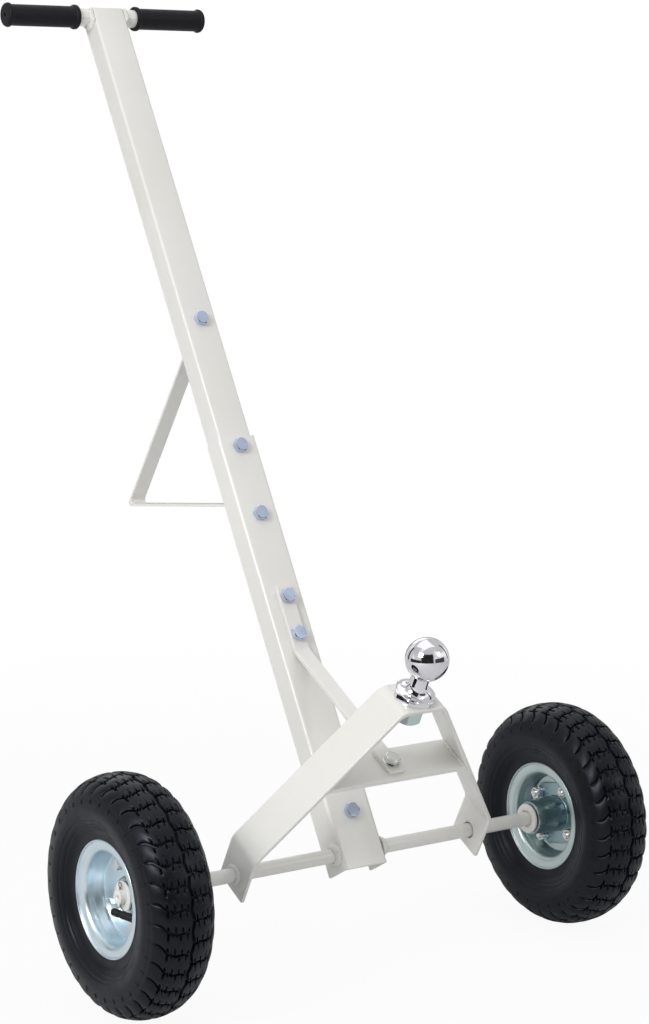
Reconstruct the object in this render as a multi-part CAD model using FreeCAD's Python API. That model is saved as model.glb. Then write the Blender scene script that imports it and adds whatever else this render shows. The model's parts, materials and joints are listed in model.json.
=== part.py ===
"""Two-wheeled trailer dolly: a hitch ball on an A-frame over an axle, with a long pull handle.

Units are millimetres.  +X runs along the axle to the right, -Y is the front (the ball's side)
and +Z is up.  The dolly stands as it is stored or pushed, with the handle leaning back.
The origin is the centre of the bounding box's floor face.  The handle and the A-frame are
drawn upright about the axle's centre line, then turned about it to their real lean.
"""
import FreeCAD
import Part
import math
import os

# ---- stance -----------------------------------------------------------------
TYRE_R = 130.0
HANDLE_LEAN = 29.68         # degrees back from upright
FRAME_TILT = 28.2           # degrees forward from upright
WHEEL_X = 292.2             # wheel centre plane from the middle of the axle

# ---- handle (heights are measured along it from the axle) ---------------------
TUBE_WIDTH = 43.8
TUBE_DEPTH = 29.6
TUBE_WALL = 1.5
TUBE_FRONT = -3.4           # front face, in the handle's own depth direction
TUBE_BOTTOM = 385.0
TUBE_TOP = 1087.5
CHANNEL_WIDTH = 50.5
CHANNEL_DEPTH = 28.4
CHANNEL_WALL = 3.0
CHANNEL_FRONT = -6.5
CHANNEL_BOTTOM = 14.0
CHANNEL_TOP = 505.0
BRACKET_WIDTH = 59.5
BRACKET_DEPTH = 35.0
BRACKET_WALL = 4.4
BRACKET_FRONT = -11.0
BRACKET_BOTTOM = -20.0
BRACKET_TOP = 105.0
HANDLEBAR_R = 11.0
HANDLEBAR_HALF = 134.8
HANDLEBAR_HEIGHT = 1080.7
HANDLEBAR_DEPTH = 9.2
GRIP_R = 13.0
GRIP_FLANGE_R = 15.0
GRIP_INNER_X = 40.1
GRIP_OUTER_X = 138.0

# ---- kickstand and brace ------------------------------------------------------
STAND_WIDTH = 20.3
STAND_THICK = 3.0
STAND_TOP = 676.0
STAND_UPPER_BEND = 635.8
STAND_CORNER_HEIGHT = 528.4
STAND_CORNER_DEPTH = 252.8
STAND_LOWER_BEND = 431.9
STAND_BOTTOM = 389.0
STAND_BEND_R = 2.6
STRAP_WIDTH = 20.0
STRAP_THICK = 5.0
STRAP_TOP = 315.0
STRAP_BEND = 236.0

# ---- A-frame (heights are measured along it from the axle) --------------------
FRAME_WIDTH = 49.0
FRAME_THICK = 5.0
FOOT_X = 158.75             # middle of the foot's thickness
FOOT_BOTTOM = -19.6
FOOT_BEND = 34.6
TOP_HALF = 26.5
TOP_HEIGHT = 219.0          # middle of the top flat's thickness
FRAME_BEND_R = 14.0
SHELF_TOP = 127.0
SHELF_THICK = 5.0
FOOT_HOLE_R = 9.2

# ---- hitch ball ----------------------------------------------------------------
BALL_R = 23.8
BALL_HEIGHT = 271.6
BALL_FLAT_R = 6.0
BALL_NECK_R = 10.3
BALL_FLANGE_R = 23.2
BALL_FLANGE_THICK = 7.0
BALL_FLANGE_FLAT = 21.6      # middle to each wrench flat
BALL_SHANK_R = 9.5
BALL_SHANK_END = 189.0
BALL_NUT_FLATS = 28.6
BALL_NUT_HEIGHT = 19.0
BALL_WASHER_THICK = 5.0

# ---- axle and wheel ends --------------------------------------------------------
AXLE_R = 8.0
AXLE_HALF = 306.5
COLLAR_X = 245.0            # outer face of the collar that the wheel runs against
COLLAR_THICK = 3.0
COLLAR_R = 17.0
END_WASHER_X = 298.0
END_WASHER_THICK = 2.2
END_WASHER_R = 16.0
COTTER_X = 302.6
COTTER_R = 1.4

# ---- wheel, measured from its centre plane, + towards the outside ----------------
HUB_R = 19.6
HUB_IN = -45.9
HUB_OUT = 4.5
HUB_SWELL = 1.6
HUB_FLANGE_R = 41.5
HUB_SQUARE_HALF = 36.0
HUB_FLANGE_THICK = 3.0
BEARING_R = 17.5
BEARING_WIDTH = 12.0
RACE_CLEARANCE = 0.05
BALL_PITCH_R = 12.75
BEARING_BALL_R = 2.8
BEARING_BALLS = 8
RIM_THICK = 2.0
RIM_EDGE = 29.0
RIM_R = 63.2
SEAT_R = 50.8
RIM_BOLT_PITCH_R = 35.0
RIM_BOLT_TURN = {"left": 61.0, "right": 33.0}
TYRE_HALF = 39.5
VALVE_TURN = {"left": 200.0, "right": 75.0}
VALVE_HOLE_R = 5.1

# ---- fasteners --------------------------------------------------------------------
BOLT_R = 5.0
BOLT_FLATS = 16.0
BOLT_HEAD = 6.4
NUT_HEIGHT = 8.0
WASHER_R = 10.2
WASHER_THICK = 1.8
HOLE_R = 5.4
THREAD_GAP = 0.08
HANDLE_BOLTS = (659.0, 492.5, 406.5)
HANDLE_BOLT_LENGTH = 50.0
STRAP_BOLTS = (301.5, 255.5)
BRACKET_BOLT = 44.0
SHELF_BOLT_DEPTH = -2.7
RIM_BOLT_R = 4.0
RIM_BOLT_FLATS = 13.0
RIM_NUT_HEIGHT = 6.5

X_AXIS = FreeCAD.Vector(1, 0, 0)
Y_AXIS = FreeCAD.Vector(0, 1, 0)
Z_AXIS = FreeCAD.Vector(0, 0, 1)
CENTRE = FreeCAD.Vector(0, 0, 0)


# ---- drawing helpers ----------------------------------------------------------------
def box(x0, x1, y0, y1, z0, z1):
    """Box between two corners."""
    return Part.makeBox(x1 - x0, y1 - y0, z1 - z0, FreeCAD.Vector(x0, y0, z0))


def rod(start, end, radius):
    """Round bar from one point to another."""
    a = FreeCAD.Vector(*start)
    b = FreeCAD.Vector(*end)
    return Part.makeCylinder(radius, (b - a).Length, a, b - a)


def ring_x(x0, x1, inner_r, outer_r):
    """Ring about the X axis."""
    return rod((x0, 0, 0), (x1, 0, 0), outer_r).cut(rod((x0 - 1, 0, 0), (x1 + 1, 0, 0), inner_r))


def group(solids):
    """Separate solids kept together in one node."""
    return Part.makeCompound(solids)


def turned(profile_edges, axis=X_AXIS):
    """Solid of revolution of a closed list of edges."""
    face = Part.Face(Part.Wire(Part.__sortEdges__(profile_edges)))
    return face.revolve(CENTRE, axis, 360)


def polyline(points, closed=True):
    """Straight edges through the points."""
    vectors = [FreeCAD.Vector(*p) for p in points]
    if closed:
        vectors.append(vectors[0])
    return [Part.makeLine(a, b) for a, b in zip(vectors, vectors[1:])]


def arc(a, b, c):
    """Circular arc from a through b to c."""
    return Part.Arc(FreeCAD.Vector(*a), FreeCAD.Vector(*b), FreeCAD.Vector(*c)).toShape()


def hexagon_prism(flats, height, chamfer=0.8):
    """Hexagonal bar on +Z with its corners rounded off at the top end."""
    corner_r = flats / math.sqrt(3)
    corners = [
        (corner_r * math.cos(math.radians(60 * k)), corner_r * math.sin(math.radians(60 * k)), 0)
        for k in range(6)
    ]
    prism = Part.Face(Part.Wire(polyline(corners))).extrude(FreeCAD.Vector(0, 0, height))
    cone_r = flats / 2 + 0.2
    drop = chamfer + (corner_r - cone_r) * 0.5
    cap = Part.makeCone(cone_r + height + drop, cone_r, height + drop, FreeCAD.Vector(0, 0, -drop))
    return prism.common(cap)


def bolt(radius, flats, head, length):
    """Bolt with its head on +Z above z = 0 and its shank below."""
    shank = Part.makeCylinder(radius, length, FreeCAD.Vector(0, 0, -length))
    tip = shank.makeChamfer(0.8, [e for e in shank.Edges if abs(e.BoundBox.ZMax + length) < 0.01])
    return hexagon_prism(flats, head).fuse(tip).removeSplitter()


def nut(radius, flats, height):
    """Nut standing on z = 0 with its rounded corners up."""
    hole = Part.makeCylinder(radius + THREAD_GAP, height + 2, FreeCAD.Vector(0, 0, -1))
    return hexagon_prism(flats, height).cut(hole)


def washer(inner_r, outer_r, thick):
    """Flat washer on z = 0."""
    disc = Part.makeCylinder(outer_r, thick)
    return disc.cut(Part.makeCylinder(inner_r, thick + 2, FreeCAD.Vector(0, 0, -1)))


def lock_washer(inner_r, outer_r, thick):
    """Spring washer on z = 0 with its slanting gap."""
    gap = box(0, outer_r + 1, -0.8, 0.8, -1, thick + 1)
    gap.rotate(CENTRE, X_AXIS, 25)
    return washer(inner_r, outer_r, thick).cut(gap)


def aimed(shape, point, direction):
    """Copy of a shape drawn on +Z, moved to a point and turned to a direction."""
    placed = shape.copy()
    turn = FreeCAD.Rotation(Z_AXIS, FreeCAD.Vector(*direction))
    placed.Placement = FreeCAD.Placement(FreeCAD.Vector(*point), turn)
    return placed


def strip_face(points, thickness, bend_r, plane):
    """Flat face of a bar bent at each middle point; plane maps (u, v) to 3-D."""
    sides = {1: [], -1: []}
    ends = {1: [], -1: []}
    path = [FreeCAD.Vector(u, v, 0) for u, v in points]
    for side in (1, -1):
        shift = side * thickness / 2
        first = (path[1] - path[0]).normalize()
        here = path[0] + left_of(first) * shift
        ends[side].append(here)
        for before, corner, after in zip(path, path[1:], path[2:]):
            go_in = (corner - before).normalize()
            go_out = (after - corner).normalize()
            turn = math.copysign(1.0, go_in.cross(go_out).z)
            half_angle = go_in.getAngle(go_out) / 2
            start = corner - go_in * (bend_r * math.tan(half_angle))
            end = corner + go_out * (bend_r * math.tan(half_angle))
            middle = start + left_of(go_in) * (turn * bend_r)
            arc_r = bend_r - turn * shift
            arc_start = start + left_of(go_in) * shift
            arc_end = end + left_of(go_out) * shift
            arc_mid = middle + (corner - middle).normalize() * arc_r
            sides[side].append(Part.makeLine(plane(here), plane(arc_start)))
            sides[side].append(Part.Arc(plane(arc_start), plane(arc_mid), plane(arc_end)).toShape())
            here = arc_end
        last = (path[-1] - path[-2]).normalize()
        finish = path[-1] + left_of(last) * shift
        sides[side].append(Part.makeLine(plane(here), plane(finish)))
        ends[side].append(finish)
    edges = sides[1] + sides[-1]
    edges.append(Part.makeLine(plane(ends[1][0]), plane(ends[-1][0])))
    edges.append(Part.makeLine(plane(ends[1][1]), plane(ends[-1][1])))
    return Part.Face(Part.Wire(Part.__sortEdges__(edges)))


def left_of(direction):
    """Unit vector a quarter turn left of a flat direction."""
    return FreeCAD.Vector(-direction.y, direction.x, 0)


def in_xz(v):
    """Draw (u, v) in the XZ plane."""
    return FreeCAD.Vector(v.x, 0, v.y)


def in_yz(v):
    """Draw (u, v) in the YZ plane."""
    return FreeCAD.Vector(0, v.x, v.y)


def on_handle(shape):
    """Lean an upright handle part back about the axle."""
    placed = shape.copy()
    placed.rotate(CENTRE, X_AXIS, -HANDLE_LEAN)
    return placed


def on_frame(shape):
    """Tilt an upright A-frame part forward about the axle."""
    placed = shape.copy()
    placed.rotate(CENTRE, X_AXIS, FRAME_TILT)
    return placed


def leaned_point(depth, height, angle):
    """Side-view position of a point of an upright part after it is leaned by angle."""
    a = math.radians(angle)
    return (depth * math.cos(a) + height * math.sin(a), height * math.cos(a) - depth * math.sin(a))


# ---- handle -----------------------------------------------------------------------------
def make_upper_tube():
    """Rectangular tube, open at both ends, notched for the handlebar and bored for the bolts."""
    half = TUBE_WIDTH / 2
    back = TUBE_FRONT + TUBE_DEPTH
    outer = box(-half, half, TUBE_FRONT, back, TUBE_BOTTOM, TUBE_TOP)
    outer = outer.makeFillet(3.0, upright_edges(outer))
    bore = box(
        -half + TUBE_WALL, half - TUBE_WALL, TUBE_FRONT + TUBE_WALL, back - TUBE_WALL,
        TUBE_BOTTOM - 1, TUBE_TOP + 1,
    )
    tube = outer.cut(bore.makeFillet(1.2, upright_edges(bore)))
    bar = rod((-60, HANDLEBAR_DEPTH, HANDLEBAR_HEIGHT), (60, HANDLEBAR_DEPTH, HANDLEBAR_HEIGHT),
              HANDLEBAR_R + 0.1)
    tube = tube.cut(bar)
    for height in HANDLE_BOLTS:
        tube = tube.cut(rod((0, -30, height), (0, 60, height), HOLE_R))
    return on_handle(tube)


def upright_edges(shape):
    """The straight edges of a box that run along Z."""
    return [e for e in shape.Edges if e.BoundBox.XLength < 0.01 and e.BoundBox.YLength < 0.01]


def make_handlebar():
    """Round cross bar at the top of the handle."""
    bar = rod((-HANDLEBAR_HALF, HANDLEBAR_DEPTH, HANDLEBAR_HEIGHT),
              (HANDLEBAR_HALF, HANDLEBAR_DEPTH, HANDLEBAR_HEIGHT), HANDLEBAR_R)
    bore = rod((-HANDLEBAR_HALF - 1, HANDLEBAR_DEPTH, HANDLEBAR_HEIGHT),
               (HANDLEBAR_HALF + 1, HANDLEBAR_DEPTH, HANDLEBAR_HEIGHT), HANDLEBAR_R - 1.8)
    return on_handle(bar.cut(bore))


def weld_ring(x, outward, inner_r, size):
    """Fillet bead round a bar on X, against a plate at x, growing outward."""
    far = x + outward * size
    near = x + outward * 0.05
    inner = inner_r + 0.05
    belly = (x + outward * size * 0.42, inner + size * 0.42, 0)
    edges = [
        Part.makeLine(FreeCAD.Vector(near, inner, 0), FreeCAD.Vector(far, inner, 0)),
        arc((far, inner, 0), belly, (near, inner + size, 0)),
        Part.makeLine(FreeCAD.Vector(near, inner + size, 0), FreeCAD.Vector(near, inner, 0)),
    ]
    return turned(edges)


def make_handlebar_welds():
    """Beads where the handlebar leaves the two sides of the tube."""
    beads = []
    for side in (-1, 1):
        bead = weld_ring(side * TUBE_WIDTH / 2, side, HANDLEBAR_R, 4.0)
        bead.translate(FreeCAD.Vector(0, HANDLEBAR_DEPTH, HANDLEBAR_HEIGHT))
        limit = box(-60, 60, TUBE_FRONT, TUBE_FRONT + TUBE_DEPTH, 900, TUBE_TOP)
        beads.append(on_handle(bead.common(limit)))
    return group(beads)


def make_grip(side):
    """Rubber sleeve with a raised rim at each end and a vent in its closed end."""
    length = GRIP_OUTER_X - GRIP_INNER_X
    rim = 5.0
    end_wall = 3.0
    inner = HANDLEBAR_R + 0.05
    outline = [
        arc((0, inner + 1.0, 0), (0.4, GRIP_FLANGE_R - 0.8, 0), (rim * 0.4, GRIP_FLANGE_R, 0)),
        arc((rim * 0.4, GRIP_FLANGE_R, 0), (rim * 0.8, GRIP_FLANGE_R - 0.6, 0), (rim, GRIP_R, 0)),
        Part.makeLine(FreeCAD.Vector(rim, GRIP_R, 0), FreeCAD.Vector(length - rim, GRIP_R, 0)),
        arc((length - rim, GRIP_R, 0), (length - rim * 0.8, GRIP_FLANGE_R - 0.6, 0),
            (length - rim * 0.4, GRIP_FLANGE_R, 0)),
        arc((length - rim * 0.4, GRIP_FLANGE_R, 0), (length - 0.4, GRIP_FLANGE_R - 1.2, 0),
            (length, GRIP_FLANGE_R - 3, 0)),
    ]
    outline += polyline([
        (length, GRIP_FLANGE_R - 3, 0), (length, 2.0, 0), (length - end_wall, 2.0, 0),
        (length - end_wall, inner, 0), (0, inner, 0), (0, inner + 1.0, 0),
    ], closed=False)
    sleeve = turned(outline)
    sleeve.translate(FreeCAD.Vector(GRIP_INNER_X, 0, 0))
    if side < 0:
        sleeve.rotate(CENTRE, Z_AXIS, 180)
    sleeve.translate(FreeCAD.Vector(0, HANDLEBAR_DEPTH, HANDLEBAR_HEIGHT))
    return on_handle(sleeve)


def u_section(width, depth, wall, front, bottom, top, corner_r):
    """Upright U channel, open to the back, with rolled front corners."""
    half = width / 2
    outer = box(-half, half, front, front + depth, bottom, top)
    front_edges = [e for e in upright_edges(outer) if abs(e.BoundBox.YMin - front) < 0.01]
    outer = outer.makeFillet(corner_r, front_edges)
    inner = box(-half + wall, half - wall, front + wall, front + depth + 10, bottom - 1, top + 1)
    inner_edges = [e for e in upright_edges(inner) if abs(e.BoundBox.YMin - front - wall) < 0.01]
    return outer.cut(inner.makeFillet(corner_r - wall + 0.6, inner_edges))


def make_lower_channel():
    """Channel that carries the tube, bored for its bolts."""
    channel = u_section(CHANNEL_WIDTH, CHANNEL_DEPTH, CHANNEL_WALL, CHANNEL_FRONT,
                        CHANNEL_BOTTOM, CHANNEL_TOP, 4.0)
    for height in HANDLE_BOLTS[1:] + STRAP_BOLTS + (BRACKET_BOLT,):
        channel = channel.cut(rod((0, -30, height), (0, 10, height), HOLE_R))
    return on_handle(channel)


def make_axle_bracket():
    """Heavier U bracket round the foot of the channel, with the axle through its sides."""
    bracket = u_section(BRACKET_WIDTH, BRACKET_DEPTH, BRACKET_WALL, BRACKET_FRONT,
                        BRACKET_BOTTOM, BRACKET_TOP, 5.5)
    bracket = bracket.cut(rod((-50, 0, 0), (50, 0, 0), AXLE_R + 0.1))
    bracket = bracket.cut(rod((0, -30, BRACKET_BOLT), (0, 10, BRACKET_BOLT), HOLE_R))
    return on_handle(bracket)


# ---- kickstand and brace -------------------------------------------------------------------
def make_kickstand():
    """One flat bar bent to a triangle behind the handle, with a bolt tab at each end."""
    back = TUBE_FRONT + TUBE_DEPTH + STAND_THICK / 2
    path = [
        (back, STAND_TOP), (back, STAND_UPPER_BEND), (STAND_CORNER_DEPTH, STAND_CORNER_HEIGHT),
        (back, STAND_LOWER_BEND), (back, STAND_BOTTOM),
    ]
    stand = strip_face(path, STAND_THICK, STAND_BEND_R, in_yz).extrude(X_AXIS * STAND_WIDTH)
    stand.translate(X_AXIS * (-STAND_WIDTH / 2))
    for height in (HANDLE_BOLTS[0], HANDLE_BOLTS[2]):
        stand = stand.cut(rod((0, 0, height), (0, 60, height), HOLE_R))
    return on_handle(stand)


def make_brace_strap():
    """Flat bar from the front of the channel down to the shelf of the A-frame."""
    face = CHANNEL_FRONT - STRAP_THICK / 2
    on_shelf = SHELF_TOP + STRAP_THICK / 2
    path = [
        leaned_point(face, STRAP_TOP, HANDLE_LEAN),
        leaned_point(face, STRAP_BEND, HANDLE_LEAN),
        leaned_point(27.0, on_shelf, -FRAME_TILT),
        leaned_point(-17.0, on_shelf, -FRAME_TILT),
    ]
    strap = strip_face(path, STRAP_THICK, 9.0, in_yz).extrude(X_AXIS * STRAP_WIDTH)
    strap.translate(X_AXIS * (-STRAP_WIDTH / 2))
    for height in STRAP_BOLTS:
        strap = strap.cut(on_handle(rod((0, -30, height), (0, 10, height), HOLE_R)))
    hole = rod((0, SHELF_BOLT_DEPTH, SHELF_TOP - 5), (0, SHELF_BOLT_DEPTH, SHELF_TOP + 15), HOLE_R)
    return strap.cut(on_frame(hole))


# ---- A-frame ---------------------------------------------------------------------------------
def make_a_frame():
    """One wide flat bar bent into two legs with feet on the axle and a short flat on top."""
    right = [(TOP_HALF, TOP_HEIGHT), (FOOT_X, FOOT_BEND), (FOOT_X, FOOT_BOTTOM)]
    left = [(-x, z) for x, z in reversed(right)]
    frame = strip_face(left + right, FRAME_THICK, FRAME_BEND_R, in_xz)
    frame = frame.extrude(Y_AXIS * FRAME_WIDTH)
    frame.translate(Y_AXIS * (-FRAME_WIDTH / 2))
    frame = frame.cut(rod((-200, 0, 0), (200, 0, 0), FOOT_HOLE_R))
    shank = rod((0, 0, TOP_HEIGHT - 20), (0, 0, TOP_HEIGHT + 20), BALL_SHANK_R + 0.4)
    return on_frame(frame.cut(shank))


def leg_inner_x(height):
    """Distance from the middle to the inner face of a leg at a height."""
    slope = (FOOT_X - TOP_HALF) / (TOP_HEIGHT - FOOT_BEND)
    middle = TOP_HALF + (TOP_HEIGHT - height) * slope
    return middle - FRAME_THICK / 2 * math.hypot(1, slope)


def make_cross_shelf():
    """Plate between the legs, welded to their inner faces."""
    low = SHELF_TOP - SHELF_THICK
    low_x = leg_inner_x(low) - 0.1
    top_x = leg_inner_x(SHELF_TOP) - 0.1
    half = FRAME_WIDTH / 2
    outline = [(-low_x, -half, low), (low_x, -half, low), (top_x, -half, SHELF_TOP),
               (-top_x, -half, SHELF_TOP)]
    shelf = Part.Face(Part.Wire(polyline(outline))).extrude(Y_AXIS * FRAME_WIDTH)
    hole = rod((0, SHELF_BOLT_DEPTH, low - 5), (0, SHELF_BOLT_DEPTH, SHELF_TOP + 5), HOLE_R)
    return on_frame(shelf.cut(hole))


def make_shelf_welds():
    """Beads along both ends of the shelf, above it."""
    beads = []
    size = 4.0
    for side in (-1, 1):
        base_x = leg_inner_x(SHELF_TOP + 0.05) - 0.15
        high_x = leg_inner_x(SHELF_TOP + size) - 0.15
        corners = [(side * base_x, SHELF_TOP + 0.05), (side * high_x, SHELF_TOP + size),
                   (side * (base_x - size), SHELF_TOP + 0.05)]
        outline = [(x, -FRAME_WIDTH / 2 + 3, z) for x, z in corners]
        bead = Part.Face(Part.Wire(polyline(outline))).extrude(Y_AXIS * (FRAME_WIDTH - 6))
        beads.append(on_frame(bead))
    return group(beads)


# ---- hitch ball ----------------------------------------------------------------------------------
def make_hitch_ball():
    """Ball, neck, flange with six wrench flats, and shank, turned from one piece."""
    base = TOP_HEIGHT + FRAME_THICK / 2 + 0.02
    rim = base + BALL_FLANGE_THICK
    neck_low = rim + 11.0
    under = BALL_HEIGHT - math.sqrt(BALL_R ** 2 - BALL_NECK_R ** 2)
    crown = BALL_HEIGHT + math.sqrt(BALL_R ** 2 - BALL_FLAT_R ** 2)
    edges = polyline([
        (BALL_NECK_R, 0, under), (BALL_NECK_R, 0, neck_low)], closed=False)
    edges.append(arc((BALL_NECK_R, 0, neck_low), (BALL_NECK_R + 2.9, 0, rim + 3.2),
                     (BALL_FLANGE_R - 1.4, 0, rim)))
    edges += polyline([
        (BALL_FLANGE_R - 1.4, 0, rim), (BALL_FLANGE_R, 0, rim - 1.4), (BALL_FLANGE_R, 0, base + 0.8),
        (BALL_FLANGE_R - 0.8, 0, base), (BALL_SHANK_R, 0, base),
        (BALL_SHANK_R, 0, BALL_SHANK_END + 1.2), (BALL_SHANK_R - 1.2, 0, BALL_SHANK_END),
        (0, 0, BALL_SHANK_END), (0, 0, crown), (BALL_FLAT_R, 0, crown)], closed=False)
    edges.append(arc((BALL_FLAT_R, 0, crown), (BALL_R, 0, BALL_HEIGHT), (BALL_NECK_R, 0, under)))
    ball = turned(edges, Z_AXIS)
    for turn in range(0, 360, 60):
        slab = box(BALL_FLANGE_FLAT, BALL_FLANGE_FLAT + 20, -30, 30, base - 1, rim + 1)
        slab.rotate(CENTRE, Z_AXIS, turn + 12)
        ball = ball.cut(slab)
    return on_frame(ball)


def make_ball_lock_washer():
    """Spring washer between the top flat and the nut."""
    ring = lock_washer(BALL_SHANK_R + 0.3, 15.0, BALL_WASHER_THICK)
    under = TOP_HEIGHT - FRAME_THICK / 2 - 0.05
    return on_frame(aimed(ring, (0, 0, under), (0, 0, -1)))


def make_ball_nut():
    """Large nut under the top flat."""
    top = TOP_HEIGHT - FRAME_THICK / 2 - 0.1 - BALL_WASHER_THICK
    big = nut(BALL_SHANK_R, BALL_NUT_FLATS, BALL_NUT_HEIGHT)
    return on_frame(aimed(big, (0, 0, top), (0, 0, -1)))


# ---- bolts of the frame ------------------------------------------------------------------------------
def bolted_set(seats, length, grip, washer_at="nut"):
    """Bolts, washers and nuts for (point, direction) seats; the head points along direction."""
    bolts = []
    washers = []
    nuts = []
    for point, direction in seats:
        p = FreeCAD.Vector(*point)
        d = FreeCAD.Vector(*direction)
        head = p + d * 0.04
        under_head = p + d * 0.02
        under_nut = p - d * (grip + 0.02 + WASHER_THICK)
        far = p - d * (grip + 0.04)
        if washer_at == "head":
            head += d * WASHER_THICK
        else:
            far -= d * WASHER_THICK
        rest = under_head if washer_at == "head" else under_nut
        bolts.append(aimed(bolt(BOLT_R, BOLT_FLATS, BOLT_HEAD, length), tuple(head), direction))
        washers.append(aimed(washer(HOLE_R, WASHER_R, WASHER_THICK), tuple(rest), direction))
        nuts.append(aimed(nut(BOLT_R, BOLT_FLATS, NUT_HEIGHT), tuple(far), tuple(d * -1)))
    return bolts, washers, nuts


def make_handle_fasteners():
    """Three long bolts through the handle: two hold the kickstand, two join tube and channel."""
    front = [TUBE_FRONT, CHANNEL_FRONT, CHANNEL_FRONT]
    tube_back = TUBE_FRONT + TUBE_DEPTH
    back = [tube_back + STAND_THICK, tube_back, tube_back + STAND_THICK]
    bolts = []
    washers = []
    nuts = []
    for height, y_front, y_back in zip(HANDLE_BOLTS, front, back):
        seat = [((0, y_front, height), (0, -1, 0))]
        one_bolt, one_washer, one_nut = bolted_set(seat, HANDLE_BOLT_LENGTH, y_back - y_front)
        bolts += one_bolt
        washers += one_washer
        nuts += one_nut
    return [on_handle(group(s)) for s in (bolts, washers, nuts)]


def make_strap_fasteners():
    """Two short bolts through the brace strap and the web of the channel."""
    face = CHANNEL_FRONT - STRAP_THICK
    seats = [((0, face, height), (0, -1, 0)) for height in STRAP_BOLTS]
    sets = bolted_set(seats, 24.0, STRAP_THICK + CHANNEL_WALL)
    return [on_handle(group(s)) for s in sets]


def make_bracket_fasteners():
    """Bolt through the webs of the axle bracket and the channel."""
    seat = [((0, BRACKET_FRONT, BRACKET_BOLT), (0, -1, 0))]
    grip = CHANNEL_FRONT + CHANNEL_WALL - BRACKET_FRONT
    return [on_handle(s[0]) for s in bolted_set(seat, 24.0, grip)]


def make_shelf_fasteners():
    """Bolt through the tab of the strap and the shelf."""
    seat = [((0, SHELF_BOLT_DEPTH, SHELF_TOP + STRAP_THICK), (0, 0, 1))]
    grip = STRAP_THICK + SHELF_THICK
    return [on_frame(s[0]) for s in bolted_set(seat, 26.0, grip, washer_at="head")]


# ---- axle -----------------------------------------------------------------------------------------------
def make_axle():
    """Solid round axle with a cross hole for a cotter pin at each end."""
    bar = rod((-AXLE_HALF, 0, 0), (AXLE_HALF, 0, 0), AXLE_R)
    ends = [e for e in bar.Edges if e.BoundBox.XLength < 0.01]
    bar = bar.makeChamfer(1.0, ends)
    for side in (-1, 1):
        x = side * COTTER_X
        bar = bar.cut(rod((x, 0, -20), (x, 0, 20), COTTER_R + 0.15))
    return bar


def make_axle_welds():
    """Beads where the axle leaves the bracket and the two feet."""
    foot_face = FOOT_X + FRAME_THICK / 2
    beads = []
    for side in (-1, 1):
        beads.append(weld_ring(side * BRACKET_WIDTH / 2, side, AXLE_R, 4.5))
        beads.append(weld_ring(side * foot_face, side, AXLE_R, 4.0))
    return group(beads)


def make_axle_collars():
    """Collar fixed on the axle behind each wheel."""
    collars = []
    for side in (-1, 1):
        near = side * (COLLAR_X - COLLAR_THICK)
        far = side * COLLAR_X
        collars.append(ring_x(min(near, far), max(near, far), AXLE_R + 0.05, COLLAR_R))
    return group(collars)


def make_end_washers():
    """Washer outside each wheel."""
    washers = []
    for side in (-1, 1):
        near = side * END_WASHER_X
        far = side * (END_WASHER_X + END_WASHER_THICK)
        washers.append(ring_x(min(near, far), max(near, far), AXLE_R + 0.3, END_WASHER_R))
    return group(washers)


def make_cotter_pins():
    """Split pin through each end of the axle: an eye on top and two legs spread below."""
    pins = []
    eye_r = 2.6
    wire_r = 1.0
    for side in (-1, 1):
        x = side * COTTER_X
        shank = rod((x, 0, -11), (x, 0, 10.2), COTTER_R)
        eye = Part.makeTorus(eye_r, wire_r, FreeCAD.Vector(x, 0, 10.2 + eye_r), X_AXIS)
        pin = shank.fuse(eye)
        for way in (-1, 1):
            pin = pin.fuse(rod((x, 0, -10.4), (x, way * 6.0, -13.2), wire_r))
        pins.append(pin)
    return group(pins)


# ---- bearings ---------------------------------------------------------------------------------------------
def bearing_middles():
    """Middle of each bearing, from the wheel's centre plane."""
    inner = -WHEEL_X + COLLAR_X + BEARING_WIDTH / 2
    outer = END_WASHER_X - WHEEL_X - BEARING_WIDTH / 2
    return inner, outer


def ball_groove(middle, gap):
    """Torus that clears the balls by a gap."""
    return Part.makeTorus(BALL_PITCH_R, BEARING_BALL_R + gap, FreeCAD.Vector(middle, 0, 0), X_AXIS)


def make_inner_races(side):
    """Inner rings of one wheel's two bearings, still on the axle."""
    half = BEARING_WIDTH / 2
    rings = []
    for middle in bearing_middles():
        ring = ring_x(middle - half, middle + half, AXLE_R + RACE_CLEARANCE, 11.2)
        ring = ring.cut(ball_groove(middle, 0.35))
        rings.append(at_wheel(ring, side))
    return group(rings)


def make_outer_races(side):
    """Outer rings, pressed in the hub."""
    half = BEARING_WIDTH / 2 - 1.2
    rings = []
    for middle in bearing_middles():
        ring = ring_x(middle - half, middle + half, 14.3, BEARING_R)
        rings.append(at_wheel(ring.cut(ball_groove(middle, 0.02)), side))
    return group(rings)


def make_bearing_balls(side):
    """Two rows of balls."""
    balls = []
    for middle in bearing_middles():
        for k in range(BEARING_BALLS):
            a = 2 * math.pi * k / BEARING_BALLS
            centre = FreeCAD.Vector(middle, BALL_PITCH_R * math.cos(a), BALL_PITCH_R * math.sin(a))
            balls.append(at_wheel(Part.makeSphere(BEARING_BALL_R, centre), side))
    return group(balls)


def make_bearing_seals(side):
    """Thin seal ring over the outer face of each bearing."""
    inner, outer = bearing_middles()
    reach = BEARING_WIDTH / 2 - 1.2
    seals = []
    for x0 in (inner - reach, outer + reach - 1.0):
        seals.append(at_wheel(ring_x(x0, x0 + 1.0, 11.6, 14.2), side))
    return group(seals)


# ---- wheel --------------------------------------------------------------------------------------------------
def at_wheel(shape, side):
    """Move a shape drawn about a wheel's centre plane to the left or right wheel."""
    placed = shape.copy()
    placed.translate(X_AXIS * WHEEL_X)
    if side == "left":
        placed.rotate(CENTRE, Z_AXIS, 180)
    return placed


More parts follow.
